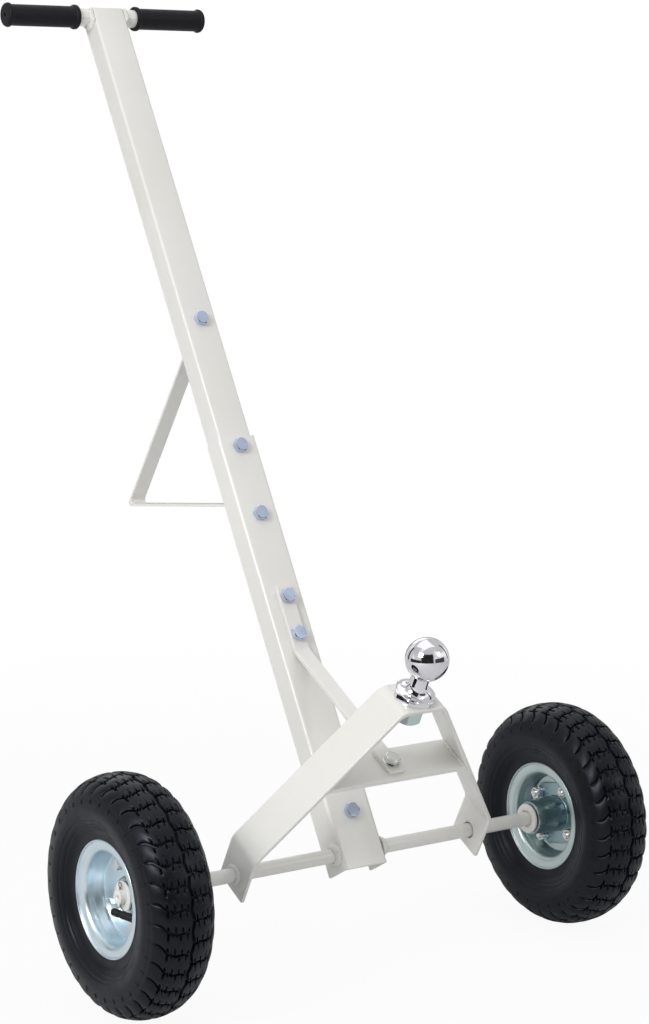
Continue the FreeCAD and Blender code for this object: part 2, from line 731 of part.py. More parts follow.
def bolt_points(side):
    """Places of the four wheel bolts as (y, z), for a shape drawn as the right wheel."""
    mirror = -1 if side == "left" else 1
    points = []
    for k in range(4):
        a = math.radians(RIM_BOLT_TURN[side] + 90 * k)
        points.append((mirror * RIM_BOLT_PITCH_R * math.cos(a), RIM_BOLT_PITCH_R * math.sin(a)))
    return points


def drilled(shape, side):
    """Drill the four wheel bolt holes."""
    for y, z in bolt_points(side):
        shape = shape.cut(rod((-40, y, z), (40, y, z), RIM_BOLT_R + 0.3))
    return shape


def make_hub(side):
    """Pressed hub: a barrel with a slight swell and a square-cornered flange, bored for bearings."""
    flange_in = -RIM_THICK - HUB_FLANGE_THICK
    swell_r = HUB_R + HUB_SWELL
    edges = polyline([
        (HUB_IN, 15.5, 0), (HUB_IN, HUB_R - 1.0, 0), (HUB_IN + 1.0, HUB_R, 0),
        (-30.0, HUB_R, 0)], closed=False)
    edges.append(arc((-30.0, HUB_R, 0), (-16.0, swell_r, 0), (flange_in, HUB_R + 0.8, 0)))
    edges += polyline([
        (flange_in, HUB_R + 0.8, 0), (flange_in, HUB_FLANGE_R, 0), (-RIM_THICK, HUB_FLANGE_R, 0),
        (-RIM_THICK, HUB_R, 0), (HUB_OUT - 1.0, HUB_R, 0), (HUB_OUT, HUB_R - 1.0, 0),
        (HUB_OUT, 15.5, 0), (HUB_IN, 15.5, 0)], closed=False)
    hub = turned(edges)
    for middle in bearing_middles():
        low = HUB_IN - 1 if middle < -20 else middle - BEARING_WIDTH / 2
        high = middle + BEARING_WIDTH / 2 if middle < -20 else HUB_OUT + 1
        hub = hub.cut(rod((low, 0, 0), (high, 0, 0), BEARING_R + 0.02))
    half = HUB_SQUARE_HALF
    square = box(-60, 60, -half, half, -half, half)
    corner_turn = RIM_BOLT_TURN[side] if side == "right" else 180 - RIM_BOLT_TURN[side]
    square.rotate(CENTRE, X_AXIS, corner_turn - 45)
    trimmed = hub.common(square)
    return at_wheel(drilled(trimmed, side), side)


def rim_profile():
    """Section of the outer rim half: dish on the centre plane, bead seat, flange and lip."""
    t = RIM_THICK
    flange = RIM_EDGE - 2 * t
    return [
        Part.makeLine(FreeCAD.Vector(0.02, HUB_R + 0.3, 0), FreeCAD.Vector(0.02, 43.5, 0)),
        arc((0.02, 43.5, 0), (0.9, 45.6, 0), (3.0, 46.5, 0)),
        Part.makeLine(FreeCAD.Vector(3.0, 46.5, 0), FreeCAD.Vector(8.0, 46.5, 0)),
        Part.makeLine(FreeCAD.Vector(8.0, 46.5, 0), FreeCAD.Vector(12.0, SEAT_R, 0)),
        Part.makeLine(FreeCAD.Vector(12.0, SEAT_R, 0), FreeCAD.Vector(flange - 2.5, SEAT_R, 0)),
        arc((flange - 2.5, SEAT_R, 0), (flange - 0.73, SEAT_R + 0.73, 0),
            (flange, SEAT_R + 2.5, 0)),
        Part.makeLine(FreeCAD.Vector(flange, SEAT_R + 2.5, 0), FreeCAD.Vector(flange, RIM_R - 3, 0)),
        arc((flange, RIM_R - 3, 0), (flange + 0.88, RIM_R - 0.88, 0), (flange + 3, RIM_R, 0)),
        Part.makeLine(FreeCAD.Vector(flange + 3, RIM_R, 0), FreeCAD.Vector(RIM_EDGE, RIM_R, 0)),
        Part.makeLine(FreeCAD.Vector(RIM_EDGE, RIM_R, 0), FreeCAD.Vector(RIM_EDGE, RIM_R - t, 0)),
        Part.makeLine(FreeCAD.Vector(RIM_EDGE, RIM_R - t, 0),
                      FreeCAD.Vector(flange + t + 1, RIM_R - t, 0)),
        arc((flange + t + 1, RIM_R - t, 0), (flange + t + 0.3, RIM_R - t - 0.3, 0),
            (flange + t, RIM_R - t - 1, 0)),
        Part.makeLine(FreeCAD.Vector(flange + t, RIM_R - t - 1, 0),
                      FreeCAD.Vector(flange + t, SEAT_R + 2.5, 0)),
        arc((flange + t, SEAT_R + 2.5, 0), (flange + 0.68, SEAT_R - 0.68, 0),
            (flange - 2.5, SEAT_R - t, 0)),
        Part.makeLine(FreeCAD.Vector(flange - 2.5, SEAT_R - t, 0),
                      FreeCAD.Vector(12.8, SEAT_R - t, 0)),
        Part.makeLine(FreeCAD.Vector(12.8, SEAT_R - t, 0), FreeCAD.Vector(8.8, 44.5, 0)),
        Part.makeLine(FreeCAD.Vector(8.8, 44.5, 0), FreeCAD.Vector(4.5, 44.5, 0)),
        arc((4.5, 44.5, 0), (2.75, 43.8, 0), (2.0, 42.0, 0)),
        Part.makeLine(FreeCAD.Vector(2.0, 42.0, 0), FreeCAD.Vector(2.0, HUB_R + 0.3, 0)),
        Part.makeLine(FreeCAD.Vector(2.0, HUB_R + 0.3, 0), FreeCAD.Vector(0.02, HUB_R + 0.3, 0)),
    ]


def make_rim_half(side, outward):
    """One pressed half of the rim; the outer half has the valve hole."""
    half = drilled(turned(rim_profile()), side)
    if not outward:
        half.rotate(CENTRE, Z_AXIS, 180)
        half = drilled(half, side)
    if outward:
        start, end = valve_line(side)
        way = (end - start).normalize()
        half = half.cut(rod(tuple(start - way * 10), tuple(start + way * 8), VALVE_HOLE_R))
    return at_wheel(half, side)


def valve_line(side):
    """Foot and tip of the valve stem, drawn as the right wheel."""
    mirror = -1 if side == "left" else 1
    a = math.radians(VALVE_TURN[side])
    foot = FreeCAD.Vector(9.5, mirror * 46.0 * math.cos(a), 46.0 * math.sin(a))
    b = a + math.radians(26)
    tip = FreeCAD.Vector(25.8, mirror * 14.6 * math.cos(b), 14.6 * math.sin(b))
    return foot, tip


def make_valve_stem(side):
    """Rubber covered valve stem from the inner tube out through the rim."""
    foot, tip = valve_line(side)
    way = (tip - foot).normalize()
    base = foot - way * 6.5
    length = (tip - base).Length - 9.0
    sleeve = Part.makeCone(4.8, 4.0, 14.0)
    body = sleeve.fuse(Part.makeCylinder(4.0, length - 14.0, FreeCAD.Vector(0, 0, 14.0)))
    body = body.fuse(Part.makeCylinder(2.6, 6.0, FreeCAD.Vector(0, 0, length)))
    return at_wheel(aimed(body, tuple(base), tuple(way)), side)


def make_valve_cap(side):
    """Fluted dust cap on the valve."""
    foot, tip = valve_line(side)
    way = (tip - foot).normalize()
    cap = Part.makeCylinder(4.0, 9.0).cut(Part.makeCylinder(2.7, 6.5, FreeCAD.Vector(0, 0, -0.5)))
    for k in range(8):
        a = 2 * math.pi * k / 8
        cap = cap.cut(Part.makeCylinder(0.5, 7.0, FreeCAD.Vector(4.2 * math.cos(a), 4.2 * math.sin(a), 1)))
    return at_wheel(aimed(cap, tuple(tip - way * 8.95), tuple(way)), side)


def make_rim_fasteners(side):
    """Four bolts with heads outside, lock washers and nuts inside."""
    bolts = []
    washers = []
    nuts = []
    seat = RIM_THICK + 0.02
    inside = -RIM_THICK - HUB_FLANGE_THICK - 0.02
    for y, z in bolt_points(side):
        one = bolt(RIM_BOLT_R, RIM_BOLT_FLATS, 5.3, 18.0)
        bolts.append(at_wheel(aimed(one, (seat, y, z), (1, 0, 0)), side))
        ring = lock_washer(RIM_BOLT_R + 0.25, 7.2, 2.0)
        washers.append(at_wheel(aimed(ring, (inside, y, z), (-1, 0, 0)), side))
        one = nut(RIM_BOLT_R, RIM_BOLT_FLATS, RIM_NUT_HEIGHT)
        nuts.append(at_wheel(aimed(one, (inside - 2.02, y, z), (-1, 0, 0)), side))
    return [group(s) for s in (bolts, washers, nuts)]


def make_tyre(side):
    """Tyre with a rounded crown, full sidewalls and beads on the rim's seats."""
    crown_x = 22.0
    crown_r = TYRE_R - 4.6
    mid_r = 96.6
    edges = [arc((-crown_x, crown_r, 0), (0, TYRE_R, 0), (crown_x, crown_r, 0))]
    edges.append(arc((-20.0, 118.5, 0), (0, 121.5, 0), (20.0, 118.5, 0)))
    for way in (-1, 1):
        edges.append(arc((way * crown_x, crown_r, 0), (way * TYRE_HALF, mid_r, 0),
                         (way * 30.0, 73.6, 0)))
        edges.append(arc((way * 30.0, 73.6, 0), (way * 28.7, 68.0, 0), (way * 28.6, RIM_R + 0.3, 0)))
        lip = RIM_R + 0.3
        edges += polyline([(way * 28.6, lip, 0), (way * 28.0, lip, 0)], closed=False)
        edges.append(arc((way * 28.0, lip, 0), (way * 25.67, lip - 0.97, 0),
                         (way * 24.7, lip - 3.3, 0)))
        bead = [(24.7, lip - 3.3), (24.7, 53.2), (22.4, SEAT_R + 0.1), (14.0, SEAT_R + 0.1),
                (13.0, 57.0), (22.0, 68.0)]
        edges += polyline([(way * x, r, 0) for x, r in bead], closed=False)
        edges.append(arc((way * 22.0, 68.0, 0), (way * 32.8, mid_r, 0), (way * 20.0, 118.5, 0)))
    return at_wheel(turned(edges), side)


def tube_outline(inset):
    """Closed section of the inner tube, drawn in by an inset."""
    top = 118.0 - inset
    low = 67.5 + inset
    edges = [arc((-19.5, top, 0), (0, 121.0 - inset, 0), (19.5, top, 0))]
    edges.append(arc((-12.0, 58.0 + inset, 0), (0, 52.5 + inset, 0), (12.0, 58.0 + inset, 0)))
    for way in (-1, 1):
        edges.append(arc((way * 19.5, top, 0), (way * (32.2 - inset), 96.6, 0),
                         (way * (20.5 - inset / 2), low, 0)))
        edges.append(Part.makeLine(FreeCAD.Vector(way * (20.5 - inset / 2), low, 0),
                                   FreeCAD.Vector(way * 12.0, 58.0 + inset, 0)))
    return edges


def make_inner_tube(side):
    """Inflated rubber tube inside the tyre."""
    shell = turned(tube_outline(0.0)).cut(turned(tube_outline(2.0)))
    return at_wheel(shell, side)


# ---- assembly ------------------------------------------------------------------------------------------------------
def make_wheel(side):
    """All the pieces of one wheel, by node name."""
    bolts, washers, nuts = make_rim_fasteners(side)
    pieces = {
        "tyre": make_tyre(side),
        "inner_tube": make_inner_tube(side),
        "rim_outer_half": make_rim_half(side, True),
        "rim_inner_half": make_rim_half(side, False),
        "hub": make_hub(side),
        "bearing_outer_races": make_outer_races(side),
        "bearing_balls": make_bearing_balls(side),
        "bearing_seals": make_bearing_seals(side),
        "rim_bolts": bolts,
        "rim_lock_washers": washers,
        "rim_nuts": nuts,
        "valve_stem": make_valve_stem(side),
        "valve_cap": make_valve_cap(side),
    }
    return {side + "_" + name: shape for name, shape in pieces.items()}


def make_chassis():
    """All the pieces that don't turn, by node name."""
    handle_bolts, handle_washers, handle_nuts = make_handle_fasteners()
    strap_bolts, strap_washers, strap_nuts = make_strap_fasteners()
    bracket_bolt, bracket_washer, bracket_nut = make_bracket_fasteners()
    shelf_bolt, shelf_washer, shelf_nut = make_shelf_fasteners()
    return {
        "upper_tube": make_upper_tube(),
        "handlebar": make_handlebar(),
        "handlebar_welds": make_handlebar_welds(),
        "left_grip": make_grip(-1),
        "right_grip": make_grip(1),
        "lower_channel": make_lower_channel(),
        "axle_bracket": make_axle_bracket(),
        "kickstand": make_kickstand(),
        "brace_strap": make_brace_strap(),
        "a_frame": make_a_frame(),
        "cross_shelf": make_cross_shelf(),
        "shelf_welds": make_shelf_welds(),
        "hitch_ball": make_hitch_ball(),
        "ball_lock_washer": make_ball_lock_washer(),
        "ball_nut": make_ball_nut(),
        "handle_bolts": handle_bolts,
        "handle_bolt_washers": handle_washers,
        "handle_bolt_nuts": handle_nuts,
        "strap_bolts": strap_bolts,
        "strap_bolt_washers": strap_washers,
        "strap_bolt_nuts": strap_nuts,
        "bracket_bolt": bracket_bolt,
        "bracket_bolt_washer": bracket_washer,
        "bracket_bolt_nut": bracket_nut,
        "shelf_bolt": shelf_bolt,
        "shelf_bolt_washer": shelf_washer,
        "shelf_bolt_nut": shelf_nut,
        "axle": make_axle(),
        "axle_welds": make_axle_welds(),
        "axle_collars": make_axle_collars(),
        "axle_end_washers": make_end_washers(),
        "cotter_pins": make_cotter_pins(),
        "left_bearing_inner_races": make_inner_races("left"),
        "right_bearing_inner_races": make_inner_races("right"),
    }


def main():
    """Place every piece on the floor and write one STEP file for each node."""
    os.makedirs("parts", exist_ok=True)
    front = BALL_HEIGHT * math.sin(math.radians(FRAME_TILT)) + BALL_R
    back = leaned_point(TUBE_FRONT + TUBE_DEPTH, TUBE_TOP, HANDLE_LEAN)[0]
    to_origin = FreeCAD.Vector(0, (front - back) / 2, TYRE_R)
    nodes = make_chassis()
    for side in ("left", "right"):
        nodes.update(make_wheel(side))
    for name, shape in nodes.items():
        shape.translate(to_origin)
        shape.exportStep("parts/" + name + ".step")


main()
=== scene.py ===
"""Looks for the trailer dolly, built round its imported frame.

Pieces are drawn in millimetres in the frame of the member they belong to (handle, A-frame,
axle or wheel) and then placed in the row frame in metres.  Random draws are seeded.
"""
import json
from math import asin, atan, atan2, ceil, copysign, cos, hypot, pi, radians, sin, sqrt, tan

import bmesh
import bpy
import numpy as np
from mathutils import Matrix, Vector


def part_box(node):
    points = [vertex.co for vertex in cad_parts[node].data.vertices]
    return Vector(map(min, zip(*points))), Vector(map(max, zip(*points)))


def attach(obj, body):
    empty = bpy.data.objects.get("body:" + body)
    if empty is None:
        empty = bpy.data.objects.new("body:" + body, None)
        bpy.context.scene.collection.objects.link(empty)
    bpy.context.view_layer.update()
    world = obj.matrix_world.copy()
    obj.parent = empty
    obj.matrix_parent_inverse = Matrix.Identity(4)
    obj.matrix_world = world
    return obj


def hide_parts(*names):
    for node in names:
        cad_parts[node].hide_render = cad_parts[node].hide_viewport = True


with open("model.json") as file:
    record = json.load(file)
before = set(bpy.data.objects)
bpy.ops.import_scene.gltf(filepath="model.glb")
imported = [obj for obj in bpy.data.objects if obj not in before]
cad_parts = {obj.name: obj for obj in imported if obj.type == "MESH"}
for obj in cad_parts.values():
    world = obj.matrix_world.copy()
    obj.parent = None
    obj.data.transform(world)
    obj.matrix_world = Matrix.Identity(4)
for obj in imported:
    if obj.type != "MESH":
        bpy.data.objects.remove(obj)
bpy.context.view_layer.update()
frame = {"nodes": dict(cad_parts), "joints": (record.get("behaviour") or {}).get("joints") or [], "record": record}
RECORD = frame["record"]
NODES = frame["nodes"]
MM = 0.001

# ---- sizes in millimetres, as in the CAD model ----
TUBE_WIDTH, TUBE_DEPTH, TUBE_WALL, TUBE_FRONT = 43.8, 29.6, 1.5, -3.4
TUBE_BOTTOM, TUBE_TOP = 385.0, 1087.5
CHANNEL_WIDTH, CHANNEL_DEPTH, CHANNEL_WALL, CHANNEL_FRONT = 50.5, 28.4, 3.0, -6.5
CHANNEL_BOTTOM, CHANNEL_TOP = 14.0, 505.0
BRACKET_WIDTH, BRACKET_DEPTH, BRACKET_WALL, BRACKET_FRONT = 59.5, 35.0, 4.4, -11.0
BRACKET_BOTTOM, BRACKET_TOP = -20.0, 105.0
BAR_R, BAR_HALF, BAR_HEIGHT, BAR_DEPTH = 11.0, 134.8, 1080.7, 9.2
GRIP_R, GRIP_FLANGE_R, GRIP_IN, GRIP_OUT = 13.0, 15.0, 40.1, 138.0
STAND_WIDTH, STAND_THICK, STAND_BEND_R = 20.3, 3.0, 2.6
STAND_CORNER = (252.8, 528.4)
STAND_HEIGHTS = (676.0, 635.8, 431.9, 389.0)
STRAP_WIDTH, STRAP_THICK = 20.0, 5.0
FRAME_WIDTH, FRAME_THICK = 49.0, 5.0
FOOT_X, FOOT_BOTTOM, FOOT_BEND = 158.75, -19.6, 34.6
TOP_HALF, TOP_HEIGHT = 26.5, 219.0
SHELF_TOP, SHELF_THICK = 127.0, 5.0
STRAP_TOP, STRAP_BEND, STRAP_REAR, STRAP_END = 315.0, 236.0, 27.0, -17.0
AXLE_R, AXLE_HALF, AXLE_HOLE_R = 8.0, 306.5, 9.2
COLLAR_X, COLLAR_R, END_WASHER_X, END_WASHER_R, PIN_X = 242.0, 17.0, 298.0, 16.0, 302.6
BALL_R, NECK_R, FLANGE_R, FLANGE_FLATS, BALL_TOP_R = 23.8, 10.3, 23.2, 43.2, 6.0
SHANK_R, SHANK_END = 9.5, 189.0
BALL_NUT_FLATS, BALL_NUT_HEIGHT, BALL_WASHER_R, BALL_WASHER_THICK = 28.6, 19.0, 15.0, 5.0
RIM_EDGE, RIM_R, SEAT_R, RIM_THICK = 29.0, 63.2, 50.8, 2.0
HUB_R, HUB_SWELL, HUB_IN, HUB_OUT, HUB_BORE_R, HUB_FACE = 19.6, 1.6, -45.9, 4.5, 15.5, -5.0
HUB_FLAT, HUB_CORNER_R = 36.0, 41.5
BEARING_MIDDLES, SEAL_IN, SEAL_OUT = ((-41.2, -1), (-0.2, 1)), 11.6, 14.2
TYRE_R, TYRE_HALF = 130.0, 39.5
WASHER_R, WASHER_THICK = 10.2, 1.8
HANDLE_BOLTS = (659.0, 492.5, 406.5)
STRAP_BOLTS = (301.5, 255.5)
BRACKET_BOLT, SHELF_BOLT_DEPTH = 44.0, -2.7
# bolt sizes: thread radius, pitch, flats, height of the head, height of the nut
M10 = (5.0, 1.5, 16.0, 6.4, 8.0)
M8 = (4.0, 1.25, 13.0, 5.3, 6.5)
RIM_BOLT_PITCH_R = 35.0
RIM_BOLT_TURN = {"left": 61.0, "right": 33.0}
VALVE_TURN = {"left": 200.0, "right": 75.0}
VALVE_FOOT, VALVE_TIP, VALVE_SLANT = (9.5, 46.0), (25.8, 14.6), 26.0
HAIR = 0.02                # gap between parts that touch

EVEN_LIGHT = 0.66          # strength of the even surround on matt surfaces

# ---- places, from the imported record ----
SPIN_POINT = {j["name"].split("_")[0]: Vector(j["pos_m"]) for j in frame["joints"]}
AXLE = Vector((0.0, SPIN_POINT["left"].y, SPIN_POINT["left"].z))
BALL_MOUNT = RECORD["mounts"][0]
FRAME_TILT = atan2(-BALL_MOUNT["axis"][1], BALL_MOUNT["axis"][2])
BALL_HEIGHT = (Vector(BALL_MOUNT["pos_m"]) - AXLE).length / MM
bar_low, bar_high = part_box("handlebar")
bar_middle = (bar_low + bar_high) / 2 - AXLE
HANDLE_LEAN = atan2(bar_middle.y, bar_middle.z) - atan2(BAR_DEPTH, BAR_HEIGHT)
SLOT_OF = {s["node"]: s["material_slot"] for s in RECORD["subparts"]}

SMALL = Matrix.Scale(MM, 4)
ON_AXLE = Matrix.Translation(AXLE) @ SMALL
ON_HANDLE = Matrix.Translation(AXLE) @ Matrix.Rotation(-HANDLE_LEAN, 4, "X") @ SMALL
ON_FRAME = Matrix.Translation(AXLE) @ Matrix.Rotation(FRAME_TILT, 4, "X") @ SMALL
ON_WHEEL = {
    "left": Matrix.Translation(SPIN_POINT["left"]) @ Matrix.Rotation(pi, 4, "Z") @ SMALL,
    "right": Matrix.Translation(SPIN_POINT["right"]) @ SMALL,
}


# ---- shapes ----
class Shape:
    """Points in millimetres and the faces between them."""

    def __init__(self, points, faces):
        self.points = np.asarray(points, float).reshape(-1, 3)
        self.faces = [tuple(int(i) for i in f) for f in faces]

    def moved(self, matrix):
        """Copy moved by a 4 by 4 matrix."""
        m = np.array(matrix)
        return Shape(self.points @ m[:3, :3].T + m[:3, 3], self.faces)

    def at(self, x, y, z):
        """Copy shifted by a distance along each axis."""
        return Shape(self.points + np.array([x, y, z]), self.faces)

    def aimed(self, point, direction):
        """Copy drawn along +X, moved to a point and turned to a direction."""
        turn = Vector((1, 0, 0)).rotation_difference(Vector(direction)).to_matrix().to_4x4()
        return self.moved(Matrix.Translation(Vector(point)) @ turn)

    def __add__(self, other):
        shift = len(self.points)
        moved_faces = [tuple(i + shift for i in f) for f in other.faces]
        return Shape(np.vstack([self.points, other.points]), self.faces + moved_faces)


def joined(shapes):
    """All the shapes as one."""
    total = shapes[0]
    for shape in shapes[1:]:
        total = total + shape
    return total


def loft(rings, wrap=False):
    """Skin over closed rings with the same number of points; wrap joins the last to the first."""
    rings = np.asarray(rings, float)
    count, size = rings.shape[:2]
    index = np.arange(count * size).reshape(count, size)
    start = index if wrap else index[:-1]
    after = np.roll(index, -1, axis=0) if wrap else index[1:]
    quads = np.stack([start, np.roll(start, -1, axis=1), np.roll(after, -1, axis=1), after], -1)
    faces = list(quads.reshape(-1, 4))
    if not wrap:
        faces += [tuple(index[0][::-1]), tuple(index[-1])]
    return Shape(rings.reshape(-1, 3), faces)


def revolved(profile, steps=96, closed=True):
    """Solid of revolution about X of (x, r) points; an open profile starts and ends on the axis."""
    x, r = np.asarray(profile, float).T
    angle = 2 * pi * np.arange(steps) / steps
    grid = np.stack(
        [np.tile(x, (steps, 1)), np.outer(np.cos(angle), r), np.outer(np.sin(angle), r)], -1
    )
    index = np.arange(steps * len(x)).reshape(steps, len(x))
    after = np.roll(index, -1, axis=0)
    if closed:
        quads = np.stack([index, after, np.roll(after, -1, axis=1), np.roll(index, -1, axis=1)], -1)
    else:
        quads = np.stack([index[:, :-1], after[:, :-1], after[:, 1:], index[:, 1:]], -1)
    return Shape(grid.reshape(-1, 3), quads.reshape(-1, 4))


def lathe(outline, radii, corner_steps, steps, closed=True):
    """Solid of revolution about X of an outline with rounded corners."""
    return revolved(rounded(outline, radii, closed, corner_steps), steps, closed)


def cylinder(start, end, radius, steps):
    """Solid cylinder on X."""
    return revolved([(start, 0), (start, radius), (end, radius), (end, 0)], steps, closed=False)


def carried(section, angle):
    """Points of an (x, r) section where it lies at an angle round X."""
    x, r = np.asarray(section, float).T
    return np.stack([x, r * np.cos(angle), r * np.sin(angle)], -1)


def half_turn(side):
    """Turn that takes a shape drawn for the right to a side, -1 or 1."""
    return Matrix.Rotation(pi if side < 0 else 0.0, 4, "Z")


def rounded(points, radii, closed=True, steps=5):
    """Outline with each corner replaced by an arc; a radius of 0 keeps it sharp."""
    pts = [Vector(p) for p in points]
    if not hasattr(radii, "__len__"):
        radii = [radii] * len(pts)
    out = []
    for k, (here, radius) in enumerate(zip(pts, radii)):
        if radius <= 0 or (not closed and k in (0, len(pts) - 1)):
            out.append(tuple(here))
            continue
        go_in = (here - pts[k - 1]).normalized()
        go_out = (pts[(k + 1) % len(pts)] - here).normalized()
        half = go_in.angle(go_out) / 2
        start = here - go_in * radius * tan(half)
        side = copysign(1.0, go_in.x * go_out.y - go_in.y * go_out.x)
        middle = start + Vector((-go_in.y, go_in.x)) * side * radius
        arm = start - middle
        for j in range(steps + 1):
            a = side * 2 * half * j / steps
            turned = Vector((arm.x * cos(a) - arm.y * sin(a),
                             arm.x * sin(a) + arm.y * cos(a)))
            out.append(tuple(middle + turned))
    return out


def extruded(outline, axis, low, high):
    """Prism of a closed 2-D outline along x, y or z."""
    flat = np.asarray(outline, float)
    rings = []
    for level in (low, high):
        column = np.full(len(flat), level)
        order = {
            "x": (column, flat[:, 0], flat[:, 1]),
            "y": (flat[:, 0], column, flat[:, 1]),
            "z": (flat[:, 0], flat[:, 1], column),
        }[axis]
        rings.append(np.stack(order, -1))
    return loft(rings)


def strip_outline(path, thickness, bend_r, steps=10):
    """Outline of a flat bar of a thickness, bent at each middle point of its path."""
    pts = [Vector(p) for p in path]
    sides = {1: [], -1: []}
    for side in (1, -1):
        shift = side * thickness / 2
        corners = []
        radii = []
        for k, here in enumerate(pts):
            go_in = (here - pts[max(k - 1, 0)]).normalized() if k else None
            go_out = (pts[k + 1] - here).normalized() if k < len(pts) - 1 else None
            first = go_in or go_out
            second = go_out or go_in
            normal = (Vector((-first.y, first.x)) + Vector((-second.y, second.x))).normalized()
            scale = 1 / max(normal.dot(Vector((-first.y, first.x))), 0.2)
            turn = first.x * second.y - first.y * second.x
            corners.append(here + normal * shift * scale)
            radii.append(bend_r - copysign(shift, turn * side) * side if abs(turn) > 1e-6 else 0)
        sides[side] = rounded(corners, radii, closed=False, steps=steps)
    return sides[1] + sides[-1][::-1]


def swept(points, radius, size=12):
    """Round wire along a path."""
    pts = [Vector(p) for p in points]
    rings = []
    up = Vector((0.3, 0.2, 1)).normalized()
    for k, here in enumerate(pts):
        way = (pts[min(k + 1, len(pts) - 1)] - pts[max(k - 1, 0)]).normalized()
        side = way.cross(up).normalized()
        up = side.cross(way).normalized()
        rings.append([
            here + side * radius * cos(a) + up * radius * sin(a)
            for a in (2 * pi * j / size for j in range(size))
        ])
    return loft([[tuple(p) for p in ring] for ring in rings])


# ---- pieces ----
def new_mesh(name, shape):
    """Mesh with the points and faces of a shape."""
    mesh = bpy.data.meshes.new(name)
    mesh.from_pydata(shape.points.tolist(), [], shape.faces)
    return mesh


def add_object(name, data):
    """New object in the scene."""
    obj = bpy.data.objects.new(name, data)
    bpy.context.scene.collection.objects.link(obj)
    return obj


def make_piece(node, shape, place, body="chassis", sharp=32.0, bevel=0.0, cuts=(), look=None):
    """Object for a CAD node: builds the mesh, softens its edges, dresses it and hides the node."""
    obj = add_object(node + "_fine", new_mesh(node + "_fine", shape.moved(place)))
    tidy_mesh(obj.data, sharp)
    for cutter in cuts:
        cut_away(obj, cutter.moved(place), sharp)
    if bevel:
        soften = obj.modifiers.new("soft_edges", "BEVEL")
        soften.width = bevel * MM
        soften.segments = 3
        soften.limit_method = "ANGLE"
        soften.angle_limit = radians(50)
        soften.harden_normals = True
        apply_modifiers(obj)
    slot = SLOT_OF[node]
    dress(obj, look or slot, body)
    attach(obj, body)
    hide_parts(node)


def dress(obj, look, body):
    """Give an object the finished material of a look."""
    obj.data.materials.clear()
    obj.data.materials.append(material_for(look, body))


def tidy_mesh(mesh, sharp):
    """Join doubled points, point the faces outward and mark the sharp edges."""
    work = bmesh.new()
    work.from_mesh(mesh)
    bmesh.ops.remove_doubles(work, verts=work.verts, dist=2e-6)
    bmesh.ops.recalc_face_normals(work, faces=work.faces)
    limit = radians(sharp)
    for face in work.faces:
        face.smooth = True
    for edge in work.edges:
        edge.smooth = not (len(edge.link_faces) == 2 and edge.calc_face_angle(0.0) > limit)
    work.to_mesh(mesh)
    work.free()


def cut_away(obj, shape, sharp):
    """Cut a closed shape out of an object."""
    cutter = add_object("cutter", new_mesh("cutter", shape))
    tidy_mesh(cutter.data, sharp)
    cut = obj.modifiers.new("cut", "BOOLEAN")
    cut.object = cutter
    cut.operation = "DIFFERENCE"
    cut.solver = "EXACT"
    apply_modifiers(obj)
    bpy.data.objects.remove(cutter)
    tidy_mesh(obj.data, sharp)


def apply_modifiers(obj):
    """Replace an object's mesh by what its modifiers make."""
    bpy.context.view_layer.update()
    graph = bpy.context.evaluated_depsgraph_get()
    made = bpy.data.meshes.new_from_object(obj.evaluated_get(graph))
    obj.modifiers.clear()
    obj.data = made


# ---- materials ----
def rgb(colour):
    """Three channels of a colour; a single number is a grey."""
    return (colour,) * 3 if isinstance(colour, float) else colour


